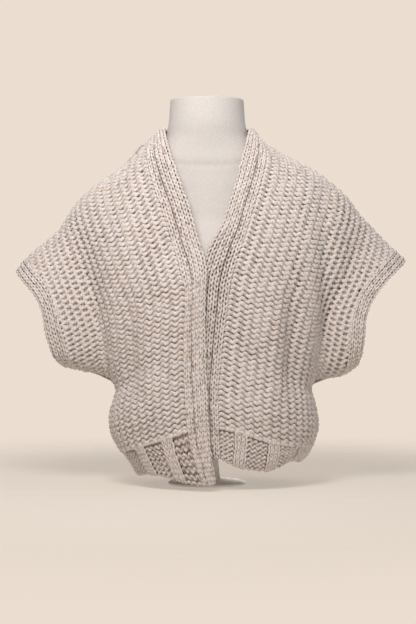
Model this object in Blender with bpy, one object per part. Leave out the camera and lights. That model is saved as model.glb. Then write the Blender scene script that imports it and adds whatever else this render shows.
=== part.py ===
"""Cardigan on a limbless dress form.

A chunky knitted, open-front cardigan with grown-on short sleeves, worn on a form on a stem and round base.
Metres in the scene, millimetres in the tables. +Z is up, the front faces -Y, and the origin is the centre
of the form's base. "right" and "left" are the wearer's sides: the right side lies at -X.
"""

import bpy
import bmesh
import numpy as np

MM = 0.001

# Driving dimensions, in millimetres.
WALL = 5.0  # thickness of the chunky knit
BAND_WALL = 6.0  # thickness of the front bands, neck band and cuffs
SEAM_GAP = 0.3  # clearance between neighbouring pieces
RAISED = 1.6  # height of a knit column over its band or rib
CUFF_WIDTH = 21.0
BAND_COLUMNS = 4  # knit columns across a front band
RIB_SHARE = 0.25  # b value of the line between the hem and the panel
FRONT_DEPTH = 118.0  # the garment's depth ahead of its mid-plane
BACK_DEPTH = 104.0  # the same behind it
# The shares of those depths, below, at each height, above.
FRONT_FULLNESS = [(0, 45, 110, 170, 300, 520), (0.86, 0.96, 1.02, 0.98, 1.0, 0.96)]
BACK_FULLNESS = [(0, 45, 110, 170, 330, 520), (0.82, 0.92, 1.0, 0.94, 1.0, 0.96)]
SLEEVE_DEPTH = 52.0  # half the sleeve's depth
OVERLAP = 11.5  # how far the right front stands over the left one
NECK_DEPTH = 62.0  # how far the back neck edge lies behind the mid-plane
BODY_ROUND = 2.3  # superellipse power of the body's sections
SLEEVE_SPREAD = 0.55  # how far the chest's fullness runs into the sleeve
NORMAL_STEP = 0.05  # step of the surface's normals, in shares of a block

# Outlines from the front. Columns: distance out from the centre line, height.
OUTLINES = {
    "right": {
        "sign": -1,
        "armpit": (141, 158),
        "shoulder": [(85, 513), (129, 471), (151, 456)],
        "overarm": [(151, 456), (172, 441), (205, 404), (219, 381), (235, 366), (262, 344), (283, 321)],
        "sleeve_hem": [(214, 179), (223, 190), (230, 210), (236, 235), (241, 261), (252, 284), (270, 305),
                       (283, 321)],
        "underarm": [(141, 158), (154, 165), (181, 171), (214, 179)],
        "side": [(105, 18), (116, 36), (132, 58), (142, 78), (144, 103), (138, 126), (134, 141), (141, 158)],
        "front_edge": [(6, 11), (24, 70), (32, 145), (33, 230), (32, 291), (39, 321), (53, 367), (66, 408),
                       (80, 449), (88, 488), (85, 513)],
        "inner_edge": [(-9, 13), (-3, 51), (3, 145), (6, 239), (6, 277), (4, 328), (16, 367), (27, 408),
                       (45, 459), (60, 504), (67, 530)],
        "front_hem": [(6, 11), (29, 14), (60, 21), (89, 23), (105, 18)],
        "front_rib": [(26, 89), (60, 76), (102, 62), (128, 52)],
        "front_row": [(33, 221), (75, 206), (112, 184), (141, 158)],
    },
    "left": {
        "sign": 1,
        "armpit": (158, 156),
        "shoulder": [(81, 513), (111, 493), (156, 471)],
        "overarm": [(156, 471), (187, 448), (210, 426), (223, 408), (241, 388), (262, 366), (294, 336)],
        "sleeve_hem": [(222, 178), (226, 193), (229, 216), (231, 246), (241, 276), (257, 298), (275, 317),
                       (294, 336)],
        "underarm": [(158, 156), (178, 161), (202, 165), (222, 178)],
        "side": [(141, 37), (150, 46), (159, 66), (165, 88), (163, 108), (159, 126), (154, 144), (158, 156)],
        "front_edge": [(19, 50), (17, 100), (16, 145), (19, 172), (24, 221), (29, 258), (36, 307), (47, 344),
                       (57, 374), (68, 412), (80, 452), (86, 492), (81, 513)],
        "inner_edge": [(-12, 48), (-14, 100), (-15, 145), (-14, 190), (-10, 258), (-4, 322), (6, 351),
                       (23, 381), (39, 427), (50, 466), (60, 504), (67, 530)],
        "front_hem": [(19, 50), (36, 41), (62, 33), (83, 30), (105, 34), (126, 42), (141, 37)],
        "front_rib": [(17, 92), (44, 87), (86, 72), (124, 64), (156, 60)],
        "front_row": [(24, 221), (79, 204), (122, 181), (158, 156)],
    },
}
for outline in OUTLINES.values():
    # The back shares the outline, and runs from the centre line in place of the front edge.
    side_hem, side_rib = outline["side"][0], outline["front_rib"][-1]
    outline["back_edge"] = [(0, 42), (0, 150), (0, 300), (0, 496)]
    outline["back_hem"] = [(0, 42), (60, 0.5 * (42 + side_hem[1])), side_hem]
    outline["back_rib"] = [(0, 90), (70, 84), side_rib]
    outline["back_row"] = [(0, 222), (80, 208), outline["armpit"]]
    outline["back_shoulder"] = [(0, 496), (44, 500)] + outline["shoulder"]

# Troughs (depth above 0) and ridges (below 0) of the cloth, each along a line seen from the front or back.
# Columns: sheet, side, out and height at the line's start, the same at its end, half width, depth.
FOLDS = [
    ("front", "right", 116, 285, 108, 132, 13, 8.0),
    ("front", "right", 198, 392, 152, 262, 17, 5.0),
    ("front", "right", 88, 270, 84, 120, 16, -4.0),
    ("front", "left", 124, 290, 122, 136, 13, 9.0),
    ("front", "left", 172, 430, 176, 205, 13, 7.0),
    ("front", "left", 98, 280, 96, 120, 16, -4.0),
    ("back", "right", 114, 300, 106, 130, 13, 7.0),
    ("back", "right", 190, 390, 158, 250, 16, 6.0),
    ("back", "right", 40, 330, 52, 140, 20, 4.0),
    ("back", "left", 126, 290, 118, 128, 13, 7.5),
    ("back", "left", 176, 425, 170, 220, 14, 6.0),
    ("back", "left", 30, 300, 46, 130, 18, 4.0),
]

# The form's sections. Columns: height, half width, depth in front, depth behind.
FORM_SECTIONS = [
    (62, 78, 64, 62),
    (82, 92, 76, 72),
    (110, 99, 82, 76),
    (160, 110, 88, 80),
    (230, 122, 96, 86),
    (300, 140, 101, 90),
    (345, 166, 94, 86),
    (375, 190, 76, 72),
    (394, 200, 60, 60),
    (414, 187, 54, 55),
    (433, 169, 50, 52),
    (448, 149.8, 48, 51),
    (463, 128.9, 46, 50),
    (484, 104.3, 46, 49),
    (505, 74, 46, 46),
    (520, 62, 48, 48),
    (535, 58.5, 51, 51),
    (576, 55, 52, 52),
]
# Its stem and round base, with flat faces between. Columns as above.
BASE_SECTIONS = [
    (0, 58, 58, 58),
    (3.5, 58, 58, 58),
    (5.5, 54, 54, 54),
    (9, 20, 20, 20),
    (50, 16, 16, 16),
    (52, 60, 50, 48),
]
FORM_SIDES = 40

# Knit columns of the hem ribs: where each group is centred, as a share of the way out, and its columns.
RIB_GROUPS = {
    "right": [(0.2, 3), (0.5, 3), (0.8, 2)],
    "left": [(0.16, 3), (0.42, 3), (0.68, 2), (0.90, 2)],
    "back": [(0.10, 3), (0.36, 3), (0.62, 3), (0.88, 2)],
}
RIB_COLUMN = 6.5  # width of one knit column in a rib

YARN = (0.72, 0.62, 0.55, 1.0)
LINEN = (0.82, 0.79, 0.74, 1.0)


def curve(points, share):
    """Points of a smooth curve through the given ones, at shares 0 to 1 of its length."""
    points = np.array(points, float)
    steps = np.linalg.norm(np.diff(points, axis=0), axis=1)
    knots = np.concatenate([[0], np.cumsum(steps)]) / steps.sum()
    slopes = np.gradient(points, knots, axis=0)
    share = np.clip(np.asarray(share, float), 0, 1)
    k = np.clip(np.searchsorted(knots, share, side="right") - 1, 0, len(knots) - 2)
    width = knots[k + 1] - knots[k]
    t = (share - knots[k]) / width
    t, width = t[..., None], width[..., None]
    start = (2 * t**3 - 3 * t**2 + 1) * points[k] + (t**3 - 2 * t**2 + t) * width * slopes[k]
    end = (3 * t**2 - 2 * t**3) * points[k + 1] + (t**3 - t**2) * width * slopes[k + 1]
    return start + end


def at_height(points, height):
    """A point of a rising curve at the given height."""
    fine = curve(points, np.linspace(0, 1, 200))
    out = np.interp(height, fine[:, 1], fine[:, 0])
    return np.stack([out, np.broadcast_to(height, out.shape)], axis=-1)


def blend(bottom, top, left, right, u, v):
    """A surface patch between four edges, given as functions of their shares u and v."""
    u, v = u[..., None], v[..., None]
    level, upright = u[..., 0], v[..., 0]
    sides = (1 - v) * bottom(level) + v * top(level) + (1 - u) * left(upright) + u * right(upright)
    zero, one = np.zeros(u.shape[:-1]), np.ones(u.shape[:-1])
    corners = (1 - u) * (1 - v) * bottom(zero) + u * (1 - v) * bottom(one)
    corners = corners + (1 - u) * v * top(zero) + u * v * top(one)
    return sides - corners


def ease(value, start, end):
    """0 before start, 1 past end, and a smooth step between them."""
    t = np.clip((value - start) / (end - start), 0, 1)
    return t * t * (3 - 2 * t)


def edges_between(outline, sheet, low_row, high_row):
    """The edge functions of a patch of the body, between two of its rows."""
    low, high = outline[low_row], outline[high_row]
    edge = outline["front_edge"] if sheet == "front" else outline["back_edge"]
    side = outline["side"]
    return (
        lambda u: curve(low, u),
        lambda u: curve(high, u),
        lambda v: at_height(edge, low[0][1] + (high[0][1] - low[0][1]) * v),
        lambda v: at_height(side, low[-1][1] + (high[-1][1] - low[-1][1]) * v),
    )


def from_front(side, sheet, a, b):
    """Where a point of the cloth lies as seen from the front: distance out and height.

    a runs from the front or back edge (0) to the side seam or armpit (1) and on to the sleeve's hem (2).
    b runs from the hem (0) to the armpit's row (1) and on to the shoulder (2).
    """
    outline = OUTLINES[side]
    flat = np.zeros(a.shape + (2,))
    rib, body, upper = b < RIB_SHARE, (b >= RIB_SHARE) & (b < 1), b >= 1
    for part, low_row, high_row, low, high in (
        (rib, "_hem", "_rib", 0, RIB_SHARE),
        (body, "_rib", "_row", RIB_SHARE, 1),
    ):
        edges = edges_between(outline, sheet, sheet + low_row, sheet + high_row)
        flat[part] = blend(*edges, np.clip(a[part], 0, 1), (b[part] - low) / (high - low))
    row, edge = outline[sheet + "_row"], outline[sheet + "_edge"]
    shoulder = outline["shoulder"] if sheet == "front" else outline["back_shoulder"]

    def bottom(u):
        return np.where((u < 0.5)[..., None], curve(row, 2 * u), curve(outline["underarm"], 2 * u - 1))

    def top(u):
        return np.where((u < 0.5)[..., None], curve(shoulder, 2 * u), curve(outline["overarm"], 2 * u - 1))

    flat[upper] = blend(
        bottom,
        top,
        lambda v: at_height(edge, row[0][1] + (shoulder[0][1] - row[0][1]) * v),
        lambda v: curve(outline["sleeve_hem"], v),
        a[upper] / 2,
        b[upper] - 1,
    )
    return flat


def depth_of(side, sheet, a, b, flat):
    """How far the cloth stands from the mid-plane at a point of it."""
    outline = OUTLINES[side]
    out, height = flat[..., 0], flat[..., 1]
    low, rib, top = outline["side"][0][1], outline["front_rib"][-1][1], outline["armpit"][1]
    side_height = np.interp(b, [0, RIB_SHARE, 1], [low, rib, top])
    rise = np.clip(b - 1, 0, 1)
    half = at_height(outline["side"], side_height)[..., 0]
    half = np.where(b > 1, outline["armpit"][0] * (1 + SLEEVE_SPREAD * rise**1.3), half)
    across = (1 - np.clip(out / half, 0, 1) ** BODY_ROUND) ** (1 / BODY_ROUND)
    if sheet == "front":
        full = FRONT_DEPTH * np.interp(height, *FRONT_FULLNESS)
    else:
        full = BACK_DEPTH * np.interp(height, *BACK_FULLNESS)
    body = full * across * (1 - rise**2.5) ** 0.5
    sleeve = SLEEVE_DEPTH * np.sqrt(np.clip(4 * rise**0.8 * (1 - rise**0.8), 0, 1))
    depth = (body**2.5 + sleeve**2.5) ** 0.4
    if sheet == "back":
        # The back neck edge runs round the neck behind the mid-plane.
        neck = NECK_DEPTH * np.sqrt(np.clip(1 - (out / outline["shoulder"][0][0]) ** 2, 0, 1))
        depth = (depth**3 + (neck * ease(b, 1.3, 2.0)) ** 3) ** (1 / 3)
    elif side == "right":
        depth = depth + OVERLAP * (1 - ease(a, 0.0, 0.55)) * (1 - ease(height, 300, 350))
    return depth


def folds_of(side, sheet, flat):
    """How deep the folds press the cloth in, along its normal."""
    press = np.zeros(flat.shape[:-1])
    for fold_sheet, fold_side, out0, height0, out1, height1, width, depth in FOLDS:
        if (fold_sheet, fold_side) != (sheet, side):
            continue
        start, end = np.array([out0, height0]), np.array([out1, height1])
        along = end - start
        share = np.clip(((flat - start) @ along) / (along @ along), 0, 1)
        gap = np.linalg.norm(flat - start - share[..., None] * along, axis=-1)
        press += depth * np.exp(-((gap / width) ** 2)) * np.sin(np.pi * (0.12 + 0.76 * share))
    return press * ease(flat[..., 0], 0, 30) if sheet == "back" else press


def normals_of(surface, a, b, facing):
    """Outward normals of a surface, over a step wide enough for a wall that doesn't cross itself."""
    a_end, b_start = np.where(b < 1, 1.0, 2.0), np.where(a > 1, 1.0, 0.0)
    after, before = np.clip(a + NORMAL_STEP, 0, a_end), np.clip(a - NORMAL_STEP, 0, a_end)
    across = surface(after, b) - surface(before, b)
    up = surface(a, np.clip(b + NORMAL_STEP, b_start, 2)) - surface(a, np.clip(b - NORMAL_STEP, b_start, 2))
    normal = np.cross(across, up) * facing
    return normal / np.maximum(np.linalg.norm(normal, axis=-1, keepdims=True), 1e-9)


def cloth(side, sheet, a, b):
    """The cloth's outer surface and its outward normals at values of a and b, in millimetres."""
    sign = OUTLINES[side]["sign"]
    depth_sign = -1 if sheet == "front" else 1
    facing = -depth_sign * sign

    def smooth(a, b):
        flat = from_front(side, sheet, a, b)
        depth = depth_of(side, sheet, a, b, flat)
        return np.stack([sign * flat[..., 0], depth_sign * depth, flat[..., 1]], axis=-1)

    def folded(a, b):
        points = smooth(a, b)
        press = folds_of(side, sheet, np.abs(points[..., [0, 2]]))
        press = press * np.clip(np.abs(points[..., 1]) / 20, 0, 1)
        return points - normals_of(smooth, a, b, facing) * press[..., None]

    return folded(a, b), normals_of(folded, a, b, facing)


def solid(name, outer, inner, faces, colour, roughness):
    """One closed body between an outer and an inner sheet of points, as an object of its own."""
    count = len(outer)
    edges = {}
    for face in faces:
        for start, end in zip(face, face[1:] + face[:1]):
            edges[(start, end)] = (end, start) not in edges
            if (end, start) in edges:
                edges[(start, end)] = edges[(end, start)] = False
    rim = [(end, start, start + count, end + count) for (start, end), free in edges.items() if free]
    back = [tuple(reversed([v + count for v in face])) for face in faces]
    points = np.concatenate([outer, inner]) * MM
    return closed_mesh(name, points.tolist(), list(faces) + back + rim, colour, roughness)


def closed_mesh(name, points, faces, colour, roughness):
    """A closed body from its points in metres and its faces, with its own material."""
    mesh = bpy.data.meshes.new(name)
    mesh.from_pydata(points, [], faces)
    body = bmesh.new()
    body.from_mesh(mesh)
    bmesh.ops.delete(body, geom=[v for v in body.verts if not v.link_faces], context="VERTS")
    bmesh.ops.triangulate(body, faces=body.faces)
    bmesh.ops.recalc_face_normals(body, faces=body.faces)
    body.to_mesh(mesh)
    body.free()
    mesh.shade_smooth()
    mesh.set_sharp_from_angle(angle=0.9)
    material = bpy.data.materials.new(name)
    material.use_nodes = True
    shader = material.node_tree.nodes["Principled BSDF"]
    shader.inputs["Base Color"].default_value = colour
    shader.inputs["Roughness"].default_value = roughness
    mesh.materials.append(material)
    item = bpy.data.objects.new(name, mesh)
    bpy.context.scene.collection.objects.link(item)
    return item


def quads(rows, columns, closed=False, start=0):
    """The faces of a grid of points, whose columns may close in a ring."""
    faces = []
    for i in range(rows - 1):
        for j in range(columns if closed else columns - 1):
            k = (j + 1) % columns
            faces.append((start + i * columns + j, start + i * columns + k,
                          start + (i + 1) * columns + k, start + (i + 1) * columns + j))
    return faces


def cuff_start(side, b, inset):
    """The a value that lies inset millimetres in from the sleeve's hem, on the row b."""
    shares = np.linspace(1, 2, 41)
    rows = np.linspace(1, 2, 15)
    grid_a, grid_b = np.meshgrid(shares, rows)
    flat = from_front(side, "front", grid_a, grid_b)
    lengths = np.linalg.norm(np.diff(flat, axis=1), axis=-1).sum(axis=1)
    return 2 - inset / np.interp(b, rows, lengths)


def keep_side(points, sheet):
    """Keeps a sheet's points on its own side of the mid-plane, half a seam gap off it."""
    if sheet == "front":
        points[..., 1] = np.minimum(points[..., 1], -SEAM_GAP / 2)
    else:
        points[..., 1] = np.maximum(points[..., 1], SEAM_GAP / 2)
    return points


def rounded(count):
    """Shares from 0 to 1 that crowd at the end, where the cloth turns in to a seam."""
    return np.sin(np.linspace(0, np.pi / 2, count))


BODY_COLUMNS = 11
SLEEVE_COLUMNS = 9
LOWER_ROWS = 10
UPPER_ROWS = 19
RIB_CLEAR = SEAM_GAP / 150  # clearance at the rib's top line, in shares of b
BAND_CLEAR = 0.002  # clearance of the fronts from their bands, in shares of a


def panel_half(side, sheet):
    """A half's grid from the rib's top up: its lower block and its upper block, sharing the armpit's row."""
    body_a = BAND_CLEAR + (1 - BAND_CLEAR) * rounded(BODY_COLUMNS)
    if sheet == "back":
        body_a = rounded(BODY_COLUMNS)
    lower_b = np.linspace(RIB_SHARE + RIB_CLEAR, 1, LOWER_ROWS)
    upper_b = 1.5 - 0.5 * np.cos(np.linspace(0, np.pi, UPPER_ROWS))
    lower = np.meshgrid(body_a, lower_b)
    end = cuff_start(side, upper_b, CUFF_WIDTH + 2 * SEAM_GAP)
    sleeve_a = 1 + (end[:, None] - 1) * np.linspace(0, 1, SLEEVE_COLUMNS)[None, 1:]
    upper_a = np.concatenate([np.tile(body_a, (UPPER_ROWS, 1)), sleeve_a], axis=1)
    upper = (upper_a, np.tile(upper_b[:, None], (1, upper_a.shape[1])))
    blocks = []
    for grid_a, grid_b in (lower, upper):
        outer, normal = cloth(side, sheet, grid_a, grid_b)
        blocks.append((outer, normal))
    (low_outer, low_normal), (up_outer, up_normal) = blocks
    shared = low_normal[-1] + up_normal[0, :BODY_COLUMNS]
    shared = shared / np.linalg.norm(shared, axis=-1, keepdims=True)
    low_normal[-1] = shared
    up_normal[0, :BODY_COLUMNS] = shared
    # At the seams the wall's thickness lies in the mid-plane.
    low_normal[:, -1, 1] = 0
    up_normal[0, BODY_COLUMNS - 1 :, 1] = 0
    if sheet == "front":
        up_normal[-1, :, 1] = 0
    else:
        up_normal[-1, BODY_COLUMNS // 2 + 2 :, 1] = 0
    sheets = []
    for outer, normal in ((low_outer, low_normal), (up_outer, up_normal)):
        normal = normal / np.linalg.norm(normal, axis=-1, keepdims=True)
        sheets.append((keep_side(outer.copy(), sheet), keep_side(outer - WALL * normal, sheet)))
    return sheets


def panel_points(side, sheet, start=0):
    """A half's points in one list, and the faces of its two blocks."""
    (low_outer, low_inner), (up_outer, up_inner) = panel_half(side, sheet)
    wide = up_outer.shape[1]
    outer = np.concatenate([low_outer[:-1].reshape(-1, 3), up_outer.reshape(-1, 3)])
    inner = np.concatenate([low_inner[:-1].reshape(-1, 3), up_inner.reshape(-1, 3)])
    first = (LOWER_ROWS - 1) * BODY_COLUMNS
    faces = quads(LOWER_ROWS - 1, BODY_COLUMNS) + quads(UPPER_ROWS, wide, start=first)
    below = (LOWER_ROWS - 2) * BODY_COLUMNS
    for j in range(BODY_COLUMNS - 1):
        faces.append((below + j, below + j + 1, first + j + 1, first + j))
    return outer, inner, [tuple(v + start for v in face) for face in faces]


def join_halves(right, left):
    """One sheet from a right and a left half that share the points on the centre line."""
    outer, inner = np.concatenate([right[0], left[0]]), np.concatenate([right[1], left[1]])
    faces = [tuple(reversed(face)) for face in right[2]] + left[2]
    centre = [number for number, point in enumerate(outer) if abs(point[0]) < 1e-3]
    half = len(centre) // 2
    match = dict(zip(centre[half:], centre[:half]))
    match.update({number: number for number in centre[:half]})
    inner[[n for n in match]] = inner[[n for n in match]] * np.array([0, 1, 1])
    return outer, inner, [tuple(match.get(v, v) for v in face) for face in faces]


def fronts_and_back():
    """The two fronts and the back, each with its grown-on half sleeves."""
    for side in OUTLINES:
        outer, inner, faces = panel_points(side, "front")
        solid(side + "_front", outer, inner, faces, YARN, 0.95)
    right = panel_points("right", "back")
    left = panel_points("left", "back", start=len(right[0]))
    solid("back", *join_halves(right, left), YARN, 0.95)


def rib_height(groups, a, length):
    """How far the knit columns of a hem stand up at a share a of its length."""
    height = np.zeros_like(a)
    for centre, columns in groups:
        reach = 0.5 * columns * RIB_COLUMN / length
        inside = np.abs(a - centre) < reach
        wave = np.abs(np.sin(np.pi * (a - centre + reach) / (2 * reach) * columns))
        height = np.where(inside, RAISED * wave, height)
    return height


def hem_half(side, sheet, rows=4, columns=40):
    """A half's hem, from the front or back edge to the side seam."""
    start = BAND_CLEAR if sheet == "front" else 0.0
    along = start + (1 - start) * rounded(columns)
    grid_a, grid_b = np.meshgrid(along, np.linspace(0, RIB_SHARE - RIB_CLEAR, rows))
    outer, normal = cloth(side, sheet, grid_a, grid_b)
    normal[:, -1, 1] = 0
    normal = normal / np.linalg.norm(normal, axis=-1, keepdims=True)
    groups = RIB_GROUPS[side if sheet == "front" else "back"]
    length = np.linalg.norm(np.diff(outer[1], axis=0), axis=-1).sum()
    raised = outer + rib_height(groups, grid_a, length)[..., None] * normal
    inner = outer - WALL * normal
    points = [keep_side(p, sheet).reshape(-1, 3) for p in (raised, inner)]
    return points[0], points[1], quads(rows, columns)


def hems():
    """The wide-rib hems of both fronts and the back."""
    for side in OUTLINES:
        outer, inner, faces = hem_half(side, "front")
        solid(side + "_hem", outer, inner, faces, YARN, 0.95)
    right, left = hem_half("right", "back"), hem_half("left", "back")
    shifted = [tuple(v + len(right[0]) for v in face) for face in left[2]]
    solid("back_hem", *join_halves(right, (left[0], left[1], shifted)), YARN, 0.95)


CUFF_COLUMNS = 3
CUFF_PROUD = 0.5  # how far the cuffs stand out over the sleeves


def cuffs(across=7, half_round=UPPER_ROWS):
    """The knitted bands round the sleeve openings, each a closed ring of three columns."""
    for side in OUTLINES:
        b = 1.5 - 0.5 * np.cos(np.linspace(0, np.pi, half_round))
        rings = []
        for sheet in ("front", "back"):
            start = cuff_start(side, b, CUFF_WIDTH)
            grid_a = start + (2 - start) * np.linspace(0, 1, across)[:, None]
            grid_b = np.tile(b, (across, 1))
            outer, normal = cloth(side, sheet, grid_a.T, grid_b.T)
            normal[[0, -1], :, 1] = 0
            rings.append((outer, normal / np.linalg.norm(normal, axis=-1, keepdims=True)))
        (front, front_normal), (back, back_normal) = rings
        outer = np.concatenate([front, back[-2:0:-1]])
        normal = np.concatenate([front_normal, back_normal[-2:0:-1]])
        wave = RAISED * np.abs(np.sin(np.linspace(0, CUFF_COLUMNS * np.pi, across)))
        raised = outer + (wave[None, :, None] + CUFF_PROUD) * normal
        inner = outer + (CUFF_PROUD - BAND_WALL) * normal
        ring = [p.transpose(1, 0, 2).reshape(-1, 3) for p in (raised, inner)]
        solid(side + "_cuff", *ring, quads(across, len(outer), closed=True), YARN, 0.95)


BAND_PROUD = 1.0  # how far the bands stand out over the fronts
BAND_STEP = 0.04  # how far in from the front edge the cloth's slope is taken, in shares of a
BAND_CROWD = 1.6  # power by which a band's stations crowd towards its top
BAND_GAPS = (1.5, 3)  # a band's distance from its front in seam gaps, and what it gains at the shoulder
NECK_GAPS = 5  # the neck band's distance from the back in seam gaps
NECK_TOP = (67, 61.5, 530, 4)  # the neck band's top: half width, depth, height and its rise behind


def band_edges(side, share):
    """A front band's seam edge and inner edge, as points on the cloth carried on past its front edge."""
    outline = OUTLINES[side]
    heights = []
    for edge in ("front_edge", "inner_edge"):
        low, high = outline[edge][0][1], outline[edge][-1][1]
        heights.append(low + (high - low) * share)
    top = outline["front_edge"][-1][1]
    marks = [outline["front_hem"][0][1], outline["front_rib"][0][1], outline["front_row"][0][1], top]
    b_values = np.interp(heights[0], marks, [0, RIB_SHARE, 1, 2])
    grid_a, grid_b = np.meshgrid([0.0, BAND_STEP], b_values)
    points, normals = cloth(side, "front", grid_a, grid_b)
    seam, normal = points[:, 0], normals[:, 0]
    flat = at_height(outline["inner_edge"], heights[1])
    inner = np.stack([outline["sign"] * flat[:, 0], seam[:, 1], flat[:, 1]], axis=-1)
    return seam, inner, normal


def band_sheets(seam, width, edge_normal, normal, across):
    """A band's outer and inner points. Its wall starts on the panel's normal and turns to its own."""
    part = np.linspace(0, 1, across)[None, :, None]
    turned = (1 - part) * edge_normal[:, None] + part * normal[:, None]
    turned = turned / np.linalg.norm(turned, axis=-1, keepdims=True)
    middle = seam[:, None] + part * width[:, None]
    wave = RAISED * np.abs(np.sin(np.pi * BAND_COLUMNS * part))
    return middle + (BAND_PROUD + wave) * turned, middle + (BAND_PROUD - BAND_WALL) * turned


def front_bands(across=9, along=31):
    """The two front bands in knit columns, from the hem to the shoulder beside the neck."""
    for side in OUTLINES:
        share = 1 - (1 - np.linspace(0, 1, along)) ** BAND_CROWD
        seam, inner_edge, edge_normal = band_edges(side, share)
        width = inner_edge - seam
        unit = width / np.linalg.norm(width, axis=-1, keepdims=True)
        gaps = BAND_GAPS[0] + BAND_GAPS[1] * ease(share, 0.8, 0.95)
        seam = seam + unit * (SEAM_GAP * gaps)[:, None]
        width = inner_edge - seam
        along_band = np.gradient(0.5 * (seam + inner_edge), axis=0)
        normal = np.cross(along_band, width) * OUTLINES[side]["sign"]
        normal = normal / np.linalg.norm(normal, axis=-1, keepdims=True)
        normal[-1, 1] = 0
        outer, inner = band_sheets(seam, width, edge_normal, normal, across)
        outer, inner = keep_side(outer, "front"), keep_side(inner, "front")
        faces = quads(along, across)
        solid(side + "_band", outer.reshape(-1, 3), inner.reshape(-1, 3), faces, YARN, 0.95)


def neck_band(across=9, half_round=10):
    """The band's stretch round the back neck, between the two shoulders."""
    halves = []
    for side in ("right", "left"):
        shoulder, end = OUTLINES[side]["back_shoulder"], OUTLINES[side]["shoulder"][0][0]
        fine = np.linspace(0, 1, 200)
        a = np.interp(end * np.sin(np.linspace(0, np.pi / 2, half_round)), curve(shoulder, fine)[:, 0], fine)
        halves.append(cloth(side, "back", a, np.full_like(a, 2.0)))
    seam, edge_normal = (np.concatenate([halves[0][k][::-1], halves[1][k][1:]]) for k in (0, 1))
    reach = np.where(seam[:, 0] < 0, -seam[0, 0], seam[-1, 0])
    x = np.clip(seam[:, 0] / reach, -1, 1)
    lift = np.sqrt(1 - x**2)
    top = np.stack([x * NECK_TOP[0], NECK_TOP[1] * lift, NECK_TOP[2] + NECK_TOP[3] * lift], axis=-1)
    rise = top - seam
    seam = seam + rise / np.linalg.norm(rise, axis=-1, keepdims=True) * SEAM_GAP * NECK_GAPS
    rise = top - seam
    along = np.gradient(0.5 * (seam + top), axis=0)
    normal = np.cross(rise, along)
    normal = normal / np.linalg.norm(normal, axis=-1, keepdims=True)
    normal[[0, -1], 1] = 0
    outer, inner = band_sheets(seam, rise, edge_normal, normal, across)
    outer, inner = keep_side(outer, "back"), keep_side(inner, "back")
    solid("neck_band", outer.reshape(-1, 3), inner.reshape(-1, 3), quads(len(seam), across), YARN, 0.95)


def dress_form(rows=30):
    """The limbless form: round base and stem, torso, shoulders and a neck with a flat top."""
    table = np.array(FORM_SECTIONS, float)
    heights = np.linspace(table[0, 0], table[-1, 0], rows)
    fine = curve(table, np.linspace(0, 1, 400))
    torso = np.stack([heights] + [np.interp(heights, fine[:, 0], fine[:, k]) for k in (1, 2, 3)], axis=-1)
    sections = np.concatenate([np.array(BASE_SECTIONS, float), torso])
    rows = len(sections)
    turn = np.linspace(0, 2 * np.pi, FORM_SIDES, endpoint=False)
    points = []
    for height, half, front, behind in sections:
        depth = np.where(np.sin(turn) < 0, front, behind)
        level = np.full_like(turn, height)
        points.append(np.stack([half * np.cos(turn), depth * np.sin(turn), level], axis=-1))
    points = np.concatenate(points) * MM
    faces = quads(rows, FORM_SIDES, closed=True)
    faces.append(tuple(reversed(range(FORM_SIDES))))
    faces.append(tuple((rows - 1) * FORM_SIDES + k for k in range(FORM_SIDES)))
    closed_mesh("dress_form", points.tolist(), faces, LINEN, 0.9)


for item in list(bpy.data.objects):
    bpy.data.objects.remove(item, do_unlink=True)
fronts_and_back()
hems()
cuffs()
front_bands()
neck_band()
dress_form()
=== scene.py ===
import math

import bpy
import numpy as np
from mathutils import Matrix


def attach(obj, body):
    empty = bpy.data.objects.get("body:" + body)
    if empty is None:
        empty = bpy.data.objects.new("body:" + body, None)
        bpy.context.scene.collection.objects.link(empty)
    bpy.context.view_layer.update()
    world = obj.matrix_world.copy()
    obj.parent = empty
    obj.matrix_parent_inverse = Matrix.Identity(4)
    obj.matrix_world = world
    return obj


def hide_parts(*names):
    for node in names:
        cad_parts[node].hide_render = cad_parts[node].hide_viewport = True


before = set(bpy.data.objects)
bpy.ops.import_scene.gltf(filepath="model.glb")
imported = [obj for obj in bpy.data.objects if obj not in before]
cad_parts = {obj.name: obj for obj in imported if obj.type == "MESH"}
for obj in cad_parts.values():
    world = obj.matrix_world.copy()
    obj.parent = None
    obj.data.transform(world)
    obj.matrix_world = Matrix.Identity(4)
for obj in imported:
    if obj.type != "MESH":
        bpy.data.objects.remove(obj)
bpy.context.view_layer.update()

# The studio: a pale beige backdrop all round and a floor of matt paper that fades into it. A soft key light
# hangs close above the garment's front, with a low fill on the right, a weak top light, and a rear light for
# the edges, as for a catalogue picture of a garment on a form.
PIXEL = 1.5  # millimetres of the garment's mid-plane across one pixel of the photograph
CENTRE_PIXEL = (207, 484)  # the pixel of the form's centre line and of its base
FRAME_PIXELS = (416, 624)
LENS_DISTANCE = 2600  # millimetres from the mid-plane
BACKDROP_HEX = "#EBDED0"
FLOOR_RADIUS, FLOOR_SOLID = 1.1, 0.35  # metres, and the share of it before the floor fades
FLOOR_SIDES = 96
FLOOR_GLOW = 0.5  # the floor's own share of the backdrop's brightness
AMBIENT = 0.36  # strength of the light from all round
AIM_HEIGHT = 0.28  # metres, where the lamps point
# Columns: name, place, size, watts, colour.
LIGHTS = [
    ("key", (-0.16, -0.86, 0.98), 0.4, 9.0, "#FFFBF8"),
    ("fill", (0.6, -2.4, 0.3), 1.2, 4, "#F8F9FF"),
    ("top", (0.1, 0.1, 2.2), 1.4, 5, "#FFFFFF"),
    ("rear", (0.4, 2.0, 1.0), 1.4, 30, "#FFFFFF"),
]


def linear(code):
    """An sRGB hex colour as linear RGBA."""
    parts = [int(code[k : k + 2], 16) / 255 for k in (1, 3, 5)]
    return [p / 12.92 if p <= 0.04045 else ((p + 0.055) / 1.055) ** 2.4 for p in parts] + [1.0]


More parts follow.
